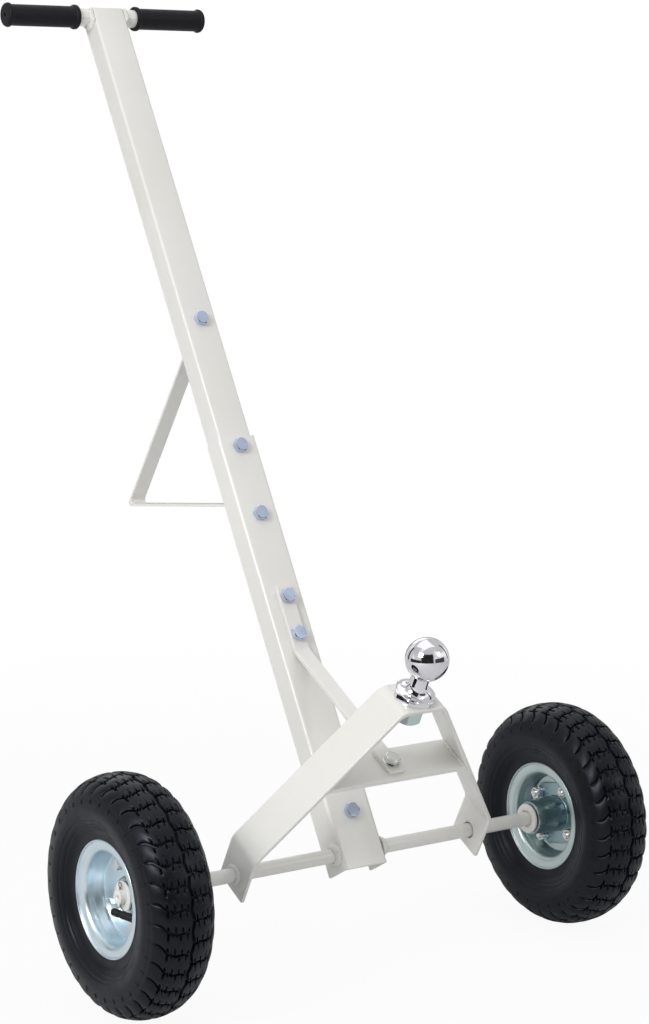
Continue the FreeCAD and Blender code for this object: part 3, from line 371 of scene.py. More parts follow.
class Nodes:
    """Maker of shader nodes in one tree."""

    def __init__(self, tree):
        self.tree = tree

    def fill(self, socket, value):
        """Link an input to another node's output, or set its value."""
        if isinstance(value, bpy.types.NodeSocket):
            self.tree.links.new(value, socket)
        else:
            socket.default_value = (*rgb(value), 1.0) if socket.type == "RGBA" else value

    def add(self, kind, *values, **named):
        """New node: inputs in order or by capitalised name, settings by lower-case name."""
        node = self.tree.nodes.new("ShaderNode" + kind)
        for name in filter(str.islower, named):
            setattr(node, name, named[name])
        for socket, value in zip(node.inputs, values):
            self.fill(socket, value)
        self.set(node, **{name: value for name, value in named.items() if not name.islower()})
        return node

    def set(self, node, **named):
        """Fill a node's inputs by name."""
        for name, value in named.items():
            self.fill(node.inputs[name.replace("_", " ")], value)

    def shade(self, **named):
        """Fill the inputs of the material's shader."""
        self.set(self.tree.nodes["Principled BSDF"], **named)

    def ramp(self, value, *stops):
        """Colour ramp over a value; stops are (position, colour or grey)."""
        node = self.add("ValToRGB", value)
        elements = node.color_ramp.elements
        while len(elements) < len(stops):
            elements.new(0.5)
        for element, (position, colour) in zip(elements, stops):
            element.position = position
            element.color = (*rgb(colour), 1.0)
        return node.outputs["Color"]

    def noise(self, vector, scale, detail, rough=0.5):
        """Noise value over a vector."""
        node = self.add("TexNoise", Vector=vector, Scale=scale, Detail=detail, Roughness=rough)
        return node.outputs["Fac"]

    def clouds(self, vector, scale, detail, *stops, rough=0.5):
        """Colour ramp over a noise."""
        return self.ramp(self.noise(vector, scale, detail, rough), *stops)

    def bumps(self, vector, scale, detail, strength, distance, **under):
        """Normal from the height of a noise, on top of the normal under it."""
        height = self.noise(vector, scale, detail)
        node = self.add("Bump", Strength=strength, Distance=distance, Height=height, **under)
        return node.outputs["Normal"]

    def mixed(self, factor, a, b, kind="MIX"):
        """Mix of two colours."""
        node = self.add("Mix", factor, data_type="RGBA", blend_type=kind)
        self.fill(node.inputs[6], a)
        self.fill(node.inputs[7], b)
        return node.outputs[2]

    def edge_mask(self, radius):
        """1 along edges, 0 on flats."""
        normal = self.add("NewGeometry").outputs["Normal"]
        eased = self.add("Bevel", Radius=radius, samples=4).outputs["Normal"]
        dot = self.add("VectorMath", normal, eased, operation="DOT_PRODUCT")
        return self.ramp(dot.outputs["Value"], (0.90, 1.0), (0.985, 0.0))

    def rings(self, where, centre):
        """Vector of (radius, x, 0) about an X axis through a centre, in metres."""
        shifted = self.add("VectorMath", where, tuple(centre), operation="SUBTRACT")
        x, y, z = self.add("SeparateXYZ", shifted.outputs["Vector"]).outputs
        flat = self.add("CombineXYZ", y, z).outputs["Vector"]
        radius = self.add("VectorMath", flat, operation="LENGTH").outputs["Value"]
        return self.add("CombineXYZ", radius, x).outputs["Vector"]


def new_material(name):
    """Node material, the maker of its nodes and the place that its patterns follow."""
    mat = bpy.data.materials.new(name)
    mat.use_nodes = True
    nodes = Nodes(mat.node_tree)
    return mat, nodes, nodes.add("TexCoord").outputs["Object"]


def paint_material():
    """Cream powder coat: semi gloss, fine orange peel, slightly thin and warm on its edges."""
    mat, nodes, where = new_material("cream_powder_coat")
    base = nodes.clouds(where, 7.0, 4.0, (0.30, (0.765, 0.757, 0.718)), (0.70, (0.815, 0.808, 0.775)))
    specks = nodes.clouds(where, 420.0, 2.0, (0.22, 0.94), (0.34, 1.0))
    base = nodes.mixed(1.0, base, specks, "MULTIPLY")
    patchy = nodes.clouds(where, 55.0, 4.0, (0.48, 0.0), (0.66, 0.5))
    edge = nodes.mixed(1.0, nodes.edge_mask(0.0009), patchy, "MULTIPLY")
    peel = nodes.bumps(where, 650.0, 2.0, 0.06, 0.0004)
    nodes.shade(
        Base_Color=nodes.mixed(edge, base, (0.70, 0.69, 0.64)),
        Roughness=nodes.clouds(where, 38.0, 3.0, (0.3, 0.30), (0.7, 0.40)),
        Specular_IOR_Level=0.5,
        Coat_Weight=0.5,
        Coat_Roughness=0.12,
        Normal=nodes.bumps(where, 26.0, 2.0, 0.10, 0.0015, Normal=peel),
    )
    return mat


def tyre_material():
    """Moulded tyre rubber: blue black, satin, with a little dust and a painted bluish reflection."""
    mat, nodes, where = new_material("tyre_rubber_black")
    base = nodes.clouds(where, 16.0, 5.0, (0.3, (0.0030, 0.0036, 0.0055)), (0.7, (0.0052, 0.0060, 0.0088)),
                        rough=0.6)
    dust = nodes.clouds(where, 150.0, 5.0, (0.60, 0.0), (0.74, 0.10), rough=0.7)
    grain = nodes.bumps(where, 900.0, 3.0, 0.18, 0.0004)
    nodes.shade(
        Base_Color=nodes.mixed(dust, base, (0.04, 0.04, 0.048)),
        Roughness=nodes.clouds(where, 60.0, 4.0, (0.3, 0.30), (0.7, 0.44)),
        Specular_IOR_Level=0.25,
        # tints the rubber's reflections blue: a painted bluish reflection
        Specular_Tint=(0.80, 0.86, 1.0),
        Normal=nodes.bumps(where, 120.0, 3.0, 0.22, 0.0006, Normal=grain),
    )
    return mat


def rubber_material(name, colour, rough, grain_scale):
    """Matt moulded rubber or plastic with a fine grain."""
    mat, nodes, where = new_material(name)
    dark, light = (tuple(c * share for c in colour) for share in (0.82, 1.25))
    nodes.shade(
        Base_Color=nodes.clouds(where, 30.0, 4.0, (0.3, dark), (0.7, light)),
        Roughness=nodes.clouds(where, 90.0, 3.0, (0.3, rough - 0.06), (0.7, rough + 0.06)),
        Specular_IOR_Level=0.22,
        Normal=nodes.bumps(where, grain_scale, 2.0, 0.25, 0.0003),
    )
    return mat


def zinc_material(name, centre, dark, light, rough, streak):
    """Zinc plate with a cast of colour, cloudy patches and turned rings about the wheel's axis."""
    mat, nodes, where = new_material(name)
    rings = nodes.rings(where, centre)
    base = nodes.clouds(where, 22.0, 5.0, (0.28, dark), (0.72, light), rough=0.55)
    lines = nodes.clouds(rings, 900.0, 2.0, (0.35, 1 - 0.18 * streak), (0.65, 1.0))
    spots = nodes.clouds(where, 260.0, 4.0, (0.62, 1.0), (0.75, 0.92), rough=0.6)
    base = nodes.mixed(1.0, base, lines, "MULTIPLY")
    turned = nodes.bumps(rings, 1400.0, 2.0, 0.12 * streak, 0.0003)
    nodes.shade(
        Base_Color=nodes.mixed(1.0, base, spots, "MULTIPLY"),
        Metallic=1.0,
        Roughness=nodes.clouds(where, 70.0, 4.0, (0.3, rough - 0.04), (0.7, rough + 0.05)),
        Normal=nodes.bumps(where, 40.0, 2.0, 0.05, 0.0006, Normal=turned),
    )
    return mat


def chrome_material():
    """Polished chrome with faint wiping marks and a slight orange peel."""
    mat, nodes, where = new_material("ball_chrome_polished")
    nodes.shade(
        Base_Color=nodes.clouds(where, 40.0, 4.0, (0.3, (0.74, 0.74, 0.78)), (0.7, (0.86, 0.86, 0.89))),
        Metallic=1.0,
        Roughness=nodes.clouds(where, 180.0, 5.0, (0.35, 0.04), (0.75, 0.13), rough=0.6),
        Normal=nodes.bumps(where, 240.0, 3.0, 0.05, 0.0006),
    )
    return mat


METALS = {
    # darker and lighter colour, roughness, strength of the turned rings
    # the rims' zinc is lighter and bluer on the left wheel and darker and greyer on the right: a lit and a shaded
    # copy of one zinc, painted light and shade
    "rim_zinc_left_wheel": ((0.67, 0.79, 0.86), (0.77, 0.88, 0.95), 0.33, 0.25),
    "rim_zinc_right_wheel": ((0.53, 0.62, 0.62), (0.63, 0.73, 0.73), 0.33, 0.25),
    # the hubs' zinc has a teal cast and is much darker than the rims' zinc: the darkness is a painted dark
    # reflection on the smooth hub
    "hub_zinc": ((0.28, 0.38, 0.41), (0.35, 0.46, 0.49), 0.30, 0.1),
    "bolt_zinc": ((0.53, 0.62, 0.80), (0.66, 0.76, 0.96), 0.20, 0.2),
    "bolt_zinc_plain": ((0.70, 0.70, 0.68), (0.84, 0.84, 0.82), 0.24, 0.3),
    "nut_zinc": ((0.56, 0.69, 0.68), (0.68, 0.80, 0.78), 0.32, 0.3),
    "pin_steel": ((0.16, 0.15, 0.14), (0.30, 0.29, 0.27), 0.36, 0.3),
    "bearing_steel": ((0.45, 0.45, 0.45), (0.65, 0.65, 0.66), 0.22, 0.6),
}
RUBBERS = {
    # colour, roughness, scale of the grain
    "grip_rubber": ((0.0060, 0.0059, 0.0088), 0.50, 1300.0),
    "cap_plastic": ((0.012, 0.012, 0.013), 0.38, 700.0),
}
PLAIN_RUBBER = ((0.014, 0.014, 0.015), 0.52, 1000.0)
OTHER_LOOKS = {"frame_paint": paint_material, "tyre_rubber": tyre_material, "ball_chrome": chrome_material}
_materials = {}


def material_for(slot, body):
    """Material of a record slot; the metal of rims and hubs has one for each wheel, its rings round that wheel's
    axis; the rims' two copies are a lit and a shaded one, painted light and shade.
    """
    key = (slot, body) if slot in ("rim_zinc", "hub_zinc") else slot
    if key not in _materials:
        _materials[key] = build_material(slot, body)
    return _materials[key]


def build_material(slot, body):
    """Make the material of one record slot."""
    if slot in OTHER_LOOKS:
        return OTHER_LOOKS[slot]()
    name = slot + "_" + body
    metal = METALS.get(name) or METALS.get(slot)
    if metal:
        return zinc_material(name, SPIN_POINT.get(body.split("_")[0], AXLE), *metal)
    return rubber_material(name, *RUBBERS.get(slot, PLAIN_RUBBER))


# ---- fasteners ----
HEX_STEPS = 72
HEX_ANGLES = 2 * pi * np.arange(HEX_STEPS) / HEX_STEPS


def hex_radius(angle, flats, corner_cut=0.3):
    """Distance from the middle of a hexagon to its outline, with its corners eased."""
    local = (angle + pi / 6) % (pi / 3) - pi / 6
    corner = flats / sqrt(3) - corner_cut
    return np.minimum(flats / 2 / np.cos(local), corner)


def level_ring(radius, level):
    """Ring round X; its radius and level are numbers or have a value for each point."""
    return np.stack([level + 0 * HEX_ANGLES, radius * np.cos(HEX_ANGLES), radius * np.sin(HEX_ANGLES)], -1)


def hex_rings(flats, low, high, chamfered_foot):
    """Rings of a hexagonal bar on X, its corners turned off at the top and, if asked, at its foot."""
    outline = hex_radius(HEX_ANGLES, flats)
    circle = flats / 2 * 0.96
    drop = (outline - circle) * tan(radians(30))
    if chamfered_foot:
        foot = [level_ring(circle, low), level_ring(outline, low + drop)]
    else:
        foot = [level_ring(outline, low)]
    return foot + [level_ring(outline, high - drop), level_ring(circle, high)]


def bolt_head(flats, height):
    """Bolt head on +X, standing on a round bearing face."""
    seat_r, seat_height = flats / 2 * 0.93, 0.4
    seat = [level_ring(seat_r, 0.0), level_ring(seat_r, seat_height)]
    return loft(seat + hex_rings(flats, seat_height, height, False))


def threaded(radius, pitch, start, end, steps=28):
    """Threaded bar on X, with a plain point at its far end."""
    per_turn = 6
    count = int(abs(end - start) / pitch * per_turn)
    x = np.linspace(start, end, count + 1)
    angle = 2 * pi * np.arange(steps) / steps
    phase = np.abs(x)[:, None] / pitch - angle[None, :] / (2 * pi)
    wave = np.abs((phase % 1.0) - 0.5) * 2
    depth = 0.55 * pitch * np.clip(1.25 * wave - 0.12, 0, 1)
    taper = np.clip(np.abs(end - x) / (0.9 * pitch), 0, 1)[:, None]
    r = (radius - 0.55 * pitch) + (0.55 * pitch - depth) * taper
    grid = np.stack([x[:, None] + 0 * r, r * np.cos(angle), r * np.sin(angle)], -1)
    return loft(grid)


def bolt(radius, pitch, flats, head, length, plain):
    """Bolt on X: head above 0, plain shank below, then thread to its end."""
    shank = cylinder(0.2, -plain, radius, 28)
    return bolt_head(flats, head) + shank + threaded(radius, pitch, -plain + 0.2, -length)


def nut(radius, flats, height):
    """Nut standing on x = 0."""
    ease = 0.7
    mouth = radius + ease
    bore = [level_ring(mouth, height), level_ring(radius, height - ease), level_ring(radius, ease)]
    return loft([level_ring(mouth, 0.0)] + hex_rings(flats, 0.0, height, True) + bore, wrap=True)


def washer(inner_r, outer_r, thick):
    """Punched washer on x = 0, rolled over at its outer edge."""
    outline = [(0, inner_r), (0, outer_r), (thick, outer_r), (thick, inner_r)]
    return lathe(outline, [0.2, 0.3, 0.5, 0.3], 3, 64)


def spring_washer(inner_r, outer_r, thick, turn=0.4):
    """Split washer on x = 0, its ends a little apart."""
    outline = [(0, inner_r), (0, outer_r), (thick, outer_r), (thick, inner_r)]
    section = np.array(rounded(outline, 0.25, steps=2)) * (0.92, 1) + (0.06, 0)
    sweep = 2 * pi * 0.955
    rings = []
    for share in np.arange(61) / 60:
        lift = 0.25 * thick * (share - 0.5) * 0.5
        rings.append(carried(section + (lift, 0), turn + sweep * share))
    return loft(rings)


def bolted(seats, length, grip, washer_at="nut"):
    """Bolts, washers and nuts at (point, direction) seats, heads along direction."""
    radius, pitch, flats, head, nut_height = M10
    bolts, washers, nuts = [], [], []
    for k, (point, direction) in enumerate(seats):
        p = Vector(point)
        d = Vector(direction)
        spin = Matrix.Rotation(0.35 + 1.7 * k, 4, "X")
        one = bolt(radius, pitch, flats, head, length, grip * 0.6).moved(spin)
        above = WASHER_THICK if washer_at == "head" else 0.0
        below = WASHER_THICK - above
        bolts.append(one.aimed(p + d * (above + 2 * HAIR), d))
        rest = p + d * HAIR if washer_at == "head" else p - d * (grip + HAIR + WASHER_THICK)
        washers.append(washer(radius + 0.4, WASHER_R, WASHER_THICK).aimed(rest, d))
        spin = Matrix.Rotation(0.9 + 1.1 * k, 4, "X")
        one = nut(radius - 0.1, flats, nut_height).moved(spin)
        nuts.append(one.aimed(p - d * (grip + below + 2 * HAIR), -d))
    return joined(bolts), joined(washers), joined(nuts)


def add_bolt_set(name, plural, shapes, place, look=None):
    """Pieces of one set: its bolts, washers and nuts."""
    for part, shape in zip(("", "_washer", "_nut"), shapes):
        make_piece(name + part + plural, shape, place, sharp=22, look=look)


def add_fasteners():
    """All the bolt sets of the frame."""
    forward = (0, -1, 0)
    back = TUBE_FRONT + TUBE_DEPTH
    fronts = (TUBE_FRONT, CHANNEL_FRONT, CHANNEL_FRONT)
    backs = (back + STAND_THICK, back, back + STAND_THICK)
    sets = []
    for height, front, rear in zip(HANDLE_BOLTS, fronts, backs):
        sets.append(bolted([((0, front, height), forward)], 50.0, rear - front))
    add_bolt_set("handle_bolt", "s", [joined(parts) for parts in zip(*sets)], ON_HANDLE)
    face = CHANNEL_FRONT - STRAP_THICK
    seats = [((0, face, height), forward) for height in STRAP_BOLTS]
    add_bolt_set("strap_bolt", "s", bolted(seats, 24.0, STRAP_THICK + CHANNEL_WALL), ON_HANDLE)
    seats = [((0, BRACKET_FRONT, BRACKET_BOLT), forward)]
    grip = CHANNEL_FRONT + CHANNEL_WALL - BRACKET_FRONT
    add_bolt_set("bracket_bolt", "", bolted(seats, 24.0, grip), ON_HANDLE)
    seats = [((0, SHELF_BOLT_DEPTH, SHELF_TOP + STRAP_THICK), (0, 0, 1))]
    shapes = bolted(seats, 26.0, STRAP_THICK + SHELF_THICK, "head")
    add_bolt_set("shelf_bolt", "", shapes, ON_FRAME, "bolt_zinc_plain")


# ---- handle ----
def rect_ring(half_x, low_y, high_y, radius, z, inset):
    """Level ring round a rectangle with rounded corners."""
    x = half_x - inset
    y0 = low_y + inset
    y1 = high_y - inset
    outline = rounded([(-x, y0), (x, y0), (x, y1), (-x, y1)], max(radius - inset, 0.3), steps=6)
    return [(u, v, z) for u, v in outline]


def add_upper_tube():
    """Rectangular tube, open at both ends, notched at its top for the handlebar."""
    half = TUBE_WIDTH / 2
    high = TUBE_FRONT + TUBE_DEPTH
    wall = TUBE_WALL
    levels = (
        # height and inset of each ring, from the inside of the top down, out and up again
        (TUBE_TOP - 0.3, wall), (TUBE_BOTTOM + 0.3, wall), (TUBE_BOTTOM, wall - 0.3), (TUBE_BOTTOM, 0.3),
        (TUBE_BOTTOM + 0.3, 0.0), (TUBE_TOP - 0.5, 0.0), (TUBE_TOP, 0.5), (TUBE_TOP, wall - 0.3),
    )
    skin = loft([rect_ring(half, TUBE_FRONT, high, 3.0, z, inset) for z, inset in levels], wrap=True)
    notch = cylinder(-60, 60, BAR_R + 0.1, 72)
    notch = notch.at(0, BAR_DEPTH, BAR_HEIGHT)
    make_piece("upper_tube", skin, ON_HANDLE, cuts=[notch])


def add_handlebar():
    """Round cross bar and the weld fillets on the tube's sides."""
    outline = [(-BAR_HALF, 0.001), (-BAR_HALF, BAR_R), (BAR_HALF, BAR_R), (BAR_HALF, 0.001)]
    bar = lathe(outline, [0, 0.8, 0.8, 0], 3, 72, closed=False)
    make_piece("handlebar", bar.at(0, BAR_DEPTH, BAR_HEIGHT), ON_HANDLE)
    beads = []
    for side in (-1, 1):
        bead = weld_ring(side * TUBE_WIDTH / 2, side, BAR_R, 4.6, 26, 3)
        points = bead.at(0, BAR_DEPTH, BAR_HEIGHT).points
        points[:, 1] = np.clip(points[:, 1], TUBE_FRONT + 0.2, TUBE_FRONT + TUBE_DEPTH - 0.2)
        points[:, 2] = np.minimum(points[:, 2], TUBE_TOP - 0.2)
        beads.append(Shape(points, bead.faces))
    make_piece("handlebar_welds", joined(beads), ON_HANDLE, sharp=180)


def weld_ring(x, outward, inner_r, size, scales, seed):
    """Weld bead round a bar on X, against a plate at x: a fillet of overlapping scales."""
    rng = np.random.default_rng(seed)
    steps = 144
    angle = 2 * pi * np.arange(steps) / steps
    wander = sum(
        rng.uniform(0.05, 0.11) * np.cos(k * angle + rng.uniform(0, 2 * pi)) for k in (1, 2, 3, 5)
    )
    rings = []
    for a, w in zip(angle, wander):
        scale_phase = (a * scales / (2 * pi)) % 1.0
        ripple = 0.13 * sin(pi * scale_phase)
        leg = size * (1 + w + ripple)
        section = [(-0.3, -0.3)]
        for k in range(7):
            b = pi / 2 * k / 6
            bulge = 1 + 0.10 * sin(2 * b)
            section.append((leg * cos(b) ** 1.35 * bulge, leg * sin(b) ** 1.35 * bulge))
        rings.append(carried([(x + outward * along, inner_r + out) for along, out in section], a))
    return loft(rings, wrap=True)


def add_grips():
    """Rubber sleeves with raised rims, a soft waist and a vent in the closed end."""
    length = GRIP_OUT - GRIP_IN
    outline = [
        (0, BAR_R + 0.1), (0, GRIP_FLANGE_R), (4.6, GRIP_FLANGE_R), (6.8, GRIP_R), (length - 6.8, GRIP_R),
        (length - 4.6, GRIP_FLANGE_R), (length, GRIP_FLANGE_R - 1.2), (length, 2.0),
        (length - 3.0, 2.0), (length - 3.0, BAR_R + 0.1),
    ]
    radii = [0.3, 1.8, 2.0, 3.0, 3.0, 2.0, 3.2, 0.6, 0, 0]
    sleeve = lathe(outline, radii, 6, 96)
    for side, node in ((-1, "left_grip"), (1, "right_grip")):
        placed = sleeve.at(GRIP_IN, 0, 0).moved(half_turn(side)).at(0, BAR_DEPTH, BAR_HEIGHT)
        make_piece(node, placed, ON_HANDLE, sharp=60)


def u_outline(width, depth, wall, front, corner_r):
    """Section of a U channel open to the back."""
    half = width / 2
    back = front + depth
    points = [(-half, front), (half, front), (half, back), (half - wall, back), (half - wall, front + wall),
              (-half + wall, front + wall), (-half + wall, back), (-half, back)]
    inner = max(corner_r - wall + 0.6, 0.4)
    return rounded(points, [corner_r, corner_r, 0, 0, inner, inner, 0, 0], steps=8)


def add_channel_and_bracket():
    """The two U sections at the foot of the handle."""
    sections = (
        ("lower_channel", (CHANNEL_WIDTH, CHANNEL_DEPTH, CHANNEL_WALL, CHANNEL_FRONT, 4.0),
         CHANNEL_BOTTOM, CHANNEL_TOP, 0.5),
        ("axle_bracket", (BRACKET_WIDTH, BRACKET_DEPTH, BRACKET_WALL, BRACKET_FRONT, 5.5),
         BRACKET_BOTTOM, BRACKET_TOP, 0.7),
    )
    for node, sizes, bottom, top, bevel in sections:
        make_piece(node, extruded(u_outline(*sizes), "z", bottom, top), ON_HANDLE, bevel=bevel)


def leaned(depth, height, angle):
    """Side view of a point of an upright member after it leans back by an angle."""
    return (depth * cos(angle) + height * sin(angle),
            height * cos(angle) - depth * sin(angle))


def add_kickstand_and_strap():
    """The two bent flat bars of the handle."""
    back = TUBE_FRONT + TUBE_DEPTH + STAND_THICK / 2
    top, upper_bend, lower_bend, bottom = STAND_HEIGHTS
    path = [(back, top), (back, upper_bend), STAND_CORNER, (back, lower_bend), (back, bottom)]
    outline = strip_outline(path, STAND_THICK, STAND_BEND_R)
    stand = extruded(outline, "x", -STAND_WIDTH / 2, STAND_WIDTH / 2)
    make_piece("kickstand", stand, ON_HANDLE, bevel=0.5)
    face = CHANNEL_FRONT - STRAP_THICK / 2
    on_shelf = SHELF_TOP + STRAP_THICK / 2
    path = [leaned(face, STRAP_TOP, HANDLE_LEAN), leaned(face, STRAP_BEND, HANDLE_LEAN),
            leaned(STRAP_REAR, on_shelf, -FRAME_TILT), leaned(STRAP_END, on_shelf, -FRAME_TILT)]
    outline = strip_outline(path, STRAP_THICK, 9.0)
    strap = extruded(outline, "x", -STRAP_WIDTH / 2, STRAP_WIDTH / 2)
    make_piece("brace_strap", strap, ON_AXLE, bevel=0.8)


# ---- A-frame ----
def add_a_frame():
    """Bent flat bar with its axle holes."""
    right = [(TOP_HALF, TOP_HEIGHT), (FOOT_X, FOOT_BEND), (FOOT_X, FOOT_BOTTOM)]
    left = [(-x, z) for x, z in reversed(right)]
    outline = strip_outline(left + right, FRAME_THICK, 14.0, steps=14)
    bar = extruded(outline, "y", -FRAME_WIDTH / 2, FRAME_WIDTH / 2)
    holes = [cylinder(x - 10, x + 10, AXLE_HOLE_R, 64) for x in (-FOOT_X, FOOT_X)]
    make_piece("a_frame", bar, ON_FRAME, bevel=1.5, cuts=holes)


def leg_inner_x(height):
    """Distance from the middle to the inner face of a leg at a height."""
    slope = (FOOT_X - TOP_HALF) / (TOP_HEIGHT - FOOT_BEND)
    middle = TOP_HALF + (TOP_HEIGHT - height) * slope
    return middle - FRAME_THICK / 2 * hypot(1, slope)


def add_shelf():
    """Plate between the legs and the weld beads at its ends."""
    low = SHELF_TOP - SHELF_THICK
    low_x = leg_inner_x(low) - 0.1
    top_x = leg_inner_x(SHELF_TOP) - 0.1
    outline = [(-low_x, low), (low_x, low), (top_x, SHELF_TOP), (-top_x, SHELF_TOP)]
    plate = extruded(outline, "y", -FRAME_WIDTH / 2, FRAME_WIDTH / 2)
    make_piece("cross_shelf", plate, ON_FRAME, bevel=0.6)
    beads = [shelf_bead(side) for side in (-1, 1)]
    make_piece("shelf_welds", joined(beads), ON_FRAME, sharp=180)


def shelf_bead(side):
    """Bead of overlapping scales in the corner between the shelf's top and a leg."""
    rng = np.random.default_rng(11 + side)
    corner_x = leg_inner_x(SHELF_TOP)
    lean = atan((FOOT_X - TOP_HALF) / (TOP_HEIGHT - FOOT_BEND))
    rings = []
    count = 90
    for k in range(count + 1):
        share = k / count
        y = (share - 0.5) * (FRAME_WIDTH - 3)
        end = min(1.0, 12 * share, 12 * (1 - share)) ** 0.5
        size = (3.4 + 0.3 * sin(2 * pi * share * 9) + rng.normal(0, 0.08)) * (0.25 + 0.75 * end)
        ring = [(side * (corner_x + 0.4), y, SHELF_TOP - 0.4)]
        for j in range(7):
            b = pi / 2 * j / 6
            along = size * cos(b) ** 1.3
            up = size * sin(b) ** 1.3
            x = corner_x - along - up * sin(lean)
            ring.append((side * x, y, SHELF_TOP + up * cos(lean)))
        rings.append(ring)
    return loft(rings)


def add_hitch_ball():
    """Chromed ball, neck and six-sided flange, its washer and its nut."""
    base = TOP_HEIGHT + FRAME_THICK / 2 + 0.02
    rim = base + 7.0
    rim_r = FLANGE_R - 1.4
    under = asin(NECK_R / BALL_R)
    top = asin(BALL_TOP_R / BALL_R)
    profile = [(SHANK_END, 0.001), (SHANK_END, SHANK_R - 1.2), (SHANK_END + 1.2, SHANK_R)]
    profile += rounded([(base, SHANK_R), (base, FLANGE_R), (rim - 1.2, FLANGE_R), (rim, rim_r)],
                       [0, 0.9, 0.8, 0.5], closed=False, steps=4)
    for k in range(1, 20):
        a = pi / 2 * k / 20
        profile.append((rim + 11.0 * (1 - cos(a)), NECK_R + (rim_r - NECK_R) * (1 - sin(a))))
    profile.append((BALL_HEIGHT - BALL_R * cos(under), NECK_R))
    for k in range(49):
        a = pi - under - (pi - under - top) * k / 48
        profile.append((BALL_HEIGHT + BALL_R * cos(a), BALL_R * sin(a)))
    profile.append((BALL_HEIGHT + BALL_R * cos(top), 0.001))
    ball = revolved(profile, 144, closed=False)
    angle = np.arctan2(ball.points[:, 2], ball.points[:, 1])
    radius = np.hypot(ball.points[:, 1], ball.points[:, 2])
    flange = (ball.points[:, 0] < rim + 0.5) & (radius > SHANK_R + 1)
    flats = hex_radius(angle + radians(12), FLANGE_FLATS, 1.5)
    shrink = np.where(flange, np.minimum(1.0, flats / np.maximum(radius, 0.1)), 1.0)
    ball.points[:, 1:] *= shrink[:, None]
    make_piece("hitch_ball", ball.aimed((0, 0, 0), (0, 0, 1)), ON_FRAME, sharp=40)
    low = TOP_HEIGHT - FRAME_THICK / 2 - 0.05
    down = (0, 0, -1)
    ring = spring_washer(SHANK_R + 0.3, BALL_WASHER_R, BALL_WASHER_THICK, 2.0)
    make_piece("ball_lock_washer", ring.aimed((0, 0, low), down), ON_FRAME)
    big = nut(SHANK_R, BALL_NUT_FLATS, BALL_NUT_HEIGHT).aimed((0, 0, low - BALL_WASHER_THICK - 0.05), down)
    make_piece("ball_nut", big, ON_FRAME, sharp=22)


# ---- axle ----
def add_axle():
    """Axle bar, its beads, collars, end washers and cotter pins."""
    right = [(AXLE_HALF, AXLE_R), (AXLE_HALF, 3.6), (AXLE_HALF - 1.6, 2.2), (AXLE_HALF - 6.0, 2.2),
             (AXLE_HALF - 7.0, 0.001)]
    outline = [(-x, r) for x, r in right[::-1]] + right
    radii = [0, 0, 0, 0.2, 1.2, 1.2, 0.2, 0, 0, 0]
    bar = lathe(outline, radii, 3, 64, closed=False)
    make_piece("axle", bar, ON_AXLE)
    beads = []
    foot_face = FOOT_X + FRAME_THICK / 2
    for k, side in enumerate((-1, 1)):
        beads.append(weld_ring(side * BRACKET_WIDTH / 2, side, AXLE_R, 5.0, 17, 5 + k))
        beads.append(weld_ring(side * foot_face, side, AXLE_R, 3.6, 15, 8 + k))
    make_piece("axle_welds", joined(beads), ON_AXLE, sharp=180)
    bore_r = AXLE_R + 0.05
    outline = [(2.4, bore_r), (2.4, 9.8), (0, 9.9), (0, COLLAR_R), (3.0, COLLAR_R), (3.0, bore_r)]
    collar = lathe(outline, [0.1, 0.3, 0.4, 0.7, 0.5, 0.1], 4, 72).at(COLLAR_X, 0, 0)
    end = washer(AXLE_R + 0.3, END_WASHER_R, 2.2).at(END_WASHER_X, 0, 0)
    parts = (("axle_collars", collar, 32.0), ("axle_end_washers", end, 32.0),
             ("cotter_pins", cotter_pin(PIN_X), 50))
    for node, shape, sharp in parts:
        both = [shape.moved(half_turn(side)) for side in (-1, 1)]
        make_piece(node, joined(both), ON_AXLE, sharp=sharp)


def cotter_pin(x):
    """Split pin: two legs from an eye above the axle, one bent forward and one back."""
    wire = 0.62
    path = [(x, -6.0, -13.0), (x, -3.2, -12.4), (x, -0.9, -10.6), (x, -0.66, -8.0), (x, -0.66, 8.4),
            (x, -1.2, 10.4)]
    for k in range(13):
        a = radians(230 - 280 * k / 12)
        path.append((x, 2.6 * cos(a), 12.9 + 2.6 * sin(a)))
    path += [(x, 1.2, 10.4), (x, 0.66, 8.4), (x, 0.66, -8.0), (x, 0.9, -10.4), (x, 3.0, -11.9),
             (x, 5.6, -13.1)]
    return swept(path, wire, 10)


# ---- wheel ----
def make_rim(outward):
    """One pressed rim half: dish at the centre plane, lip outside."""
    t = RIM_THICK
    f = RIM_EDGE - 2 * t
    outline = [
        (0.02, HUB_R + 0.3), (0.02, 46.5), (8.0, 46.5), (12.0, SEAT_R), (f, SEAT_R), (f, RIM_R),
        (RIM_EDGE, RIM_R), (RIM_EDGE, RIM_R - t), (f + t, RIM_R - t), (f + t, SEAT_R - t), (15.5, SEAT_R - t),
        (7.0, 45.4), (3.2, 45.4), (2.0, 38.5), (2.0, HUB_R + 0.3),
    ]
    radii = [0.4, 3.0, 2.0, 2.0, 4.6, 3.0, 0.9, 0.9, 1.2, 6.6, 9.0, 3.0, 1.6, 2.5, 0.4]
    half = lathe(outline, radii, 6, 180)
    if not outward:
        half.points[:, 0] *= -1
    return half


def bolt_angles(side):
    """Angles of the four wheel bolts, for a shape drawn as the right wheel."""
    first = RIM_BOLT_TURN[side] if side == "right" else 180 - RIM_BOLT_TURN[side]
    return [radians(first + 90 * k) for k in range(4)]


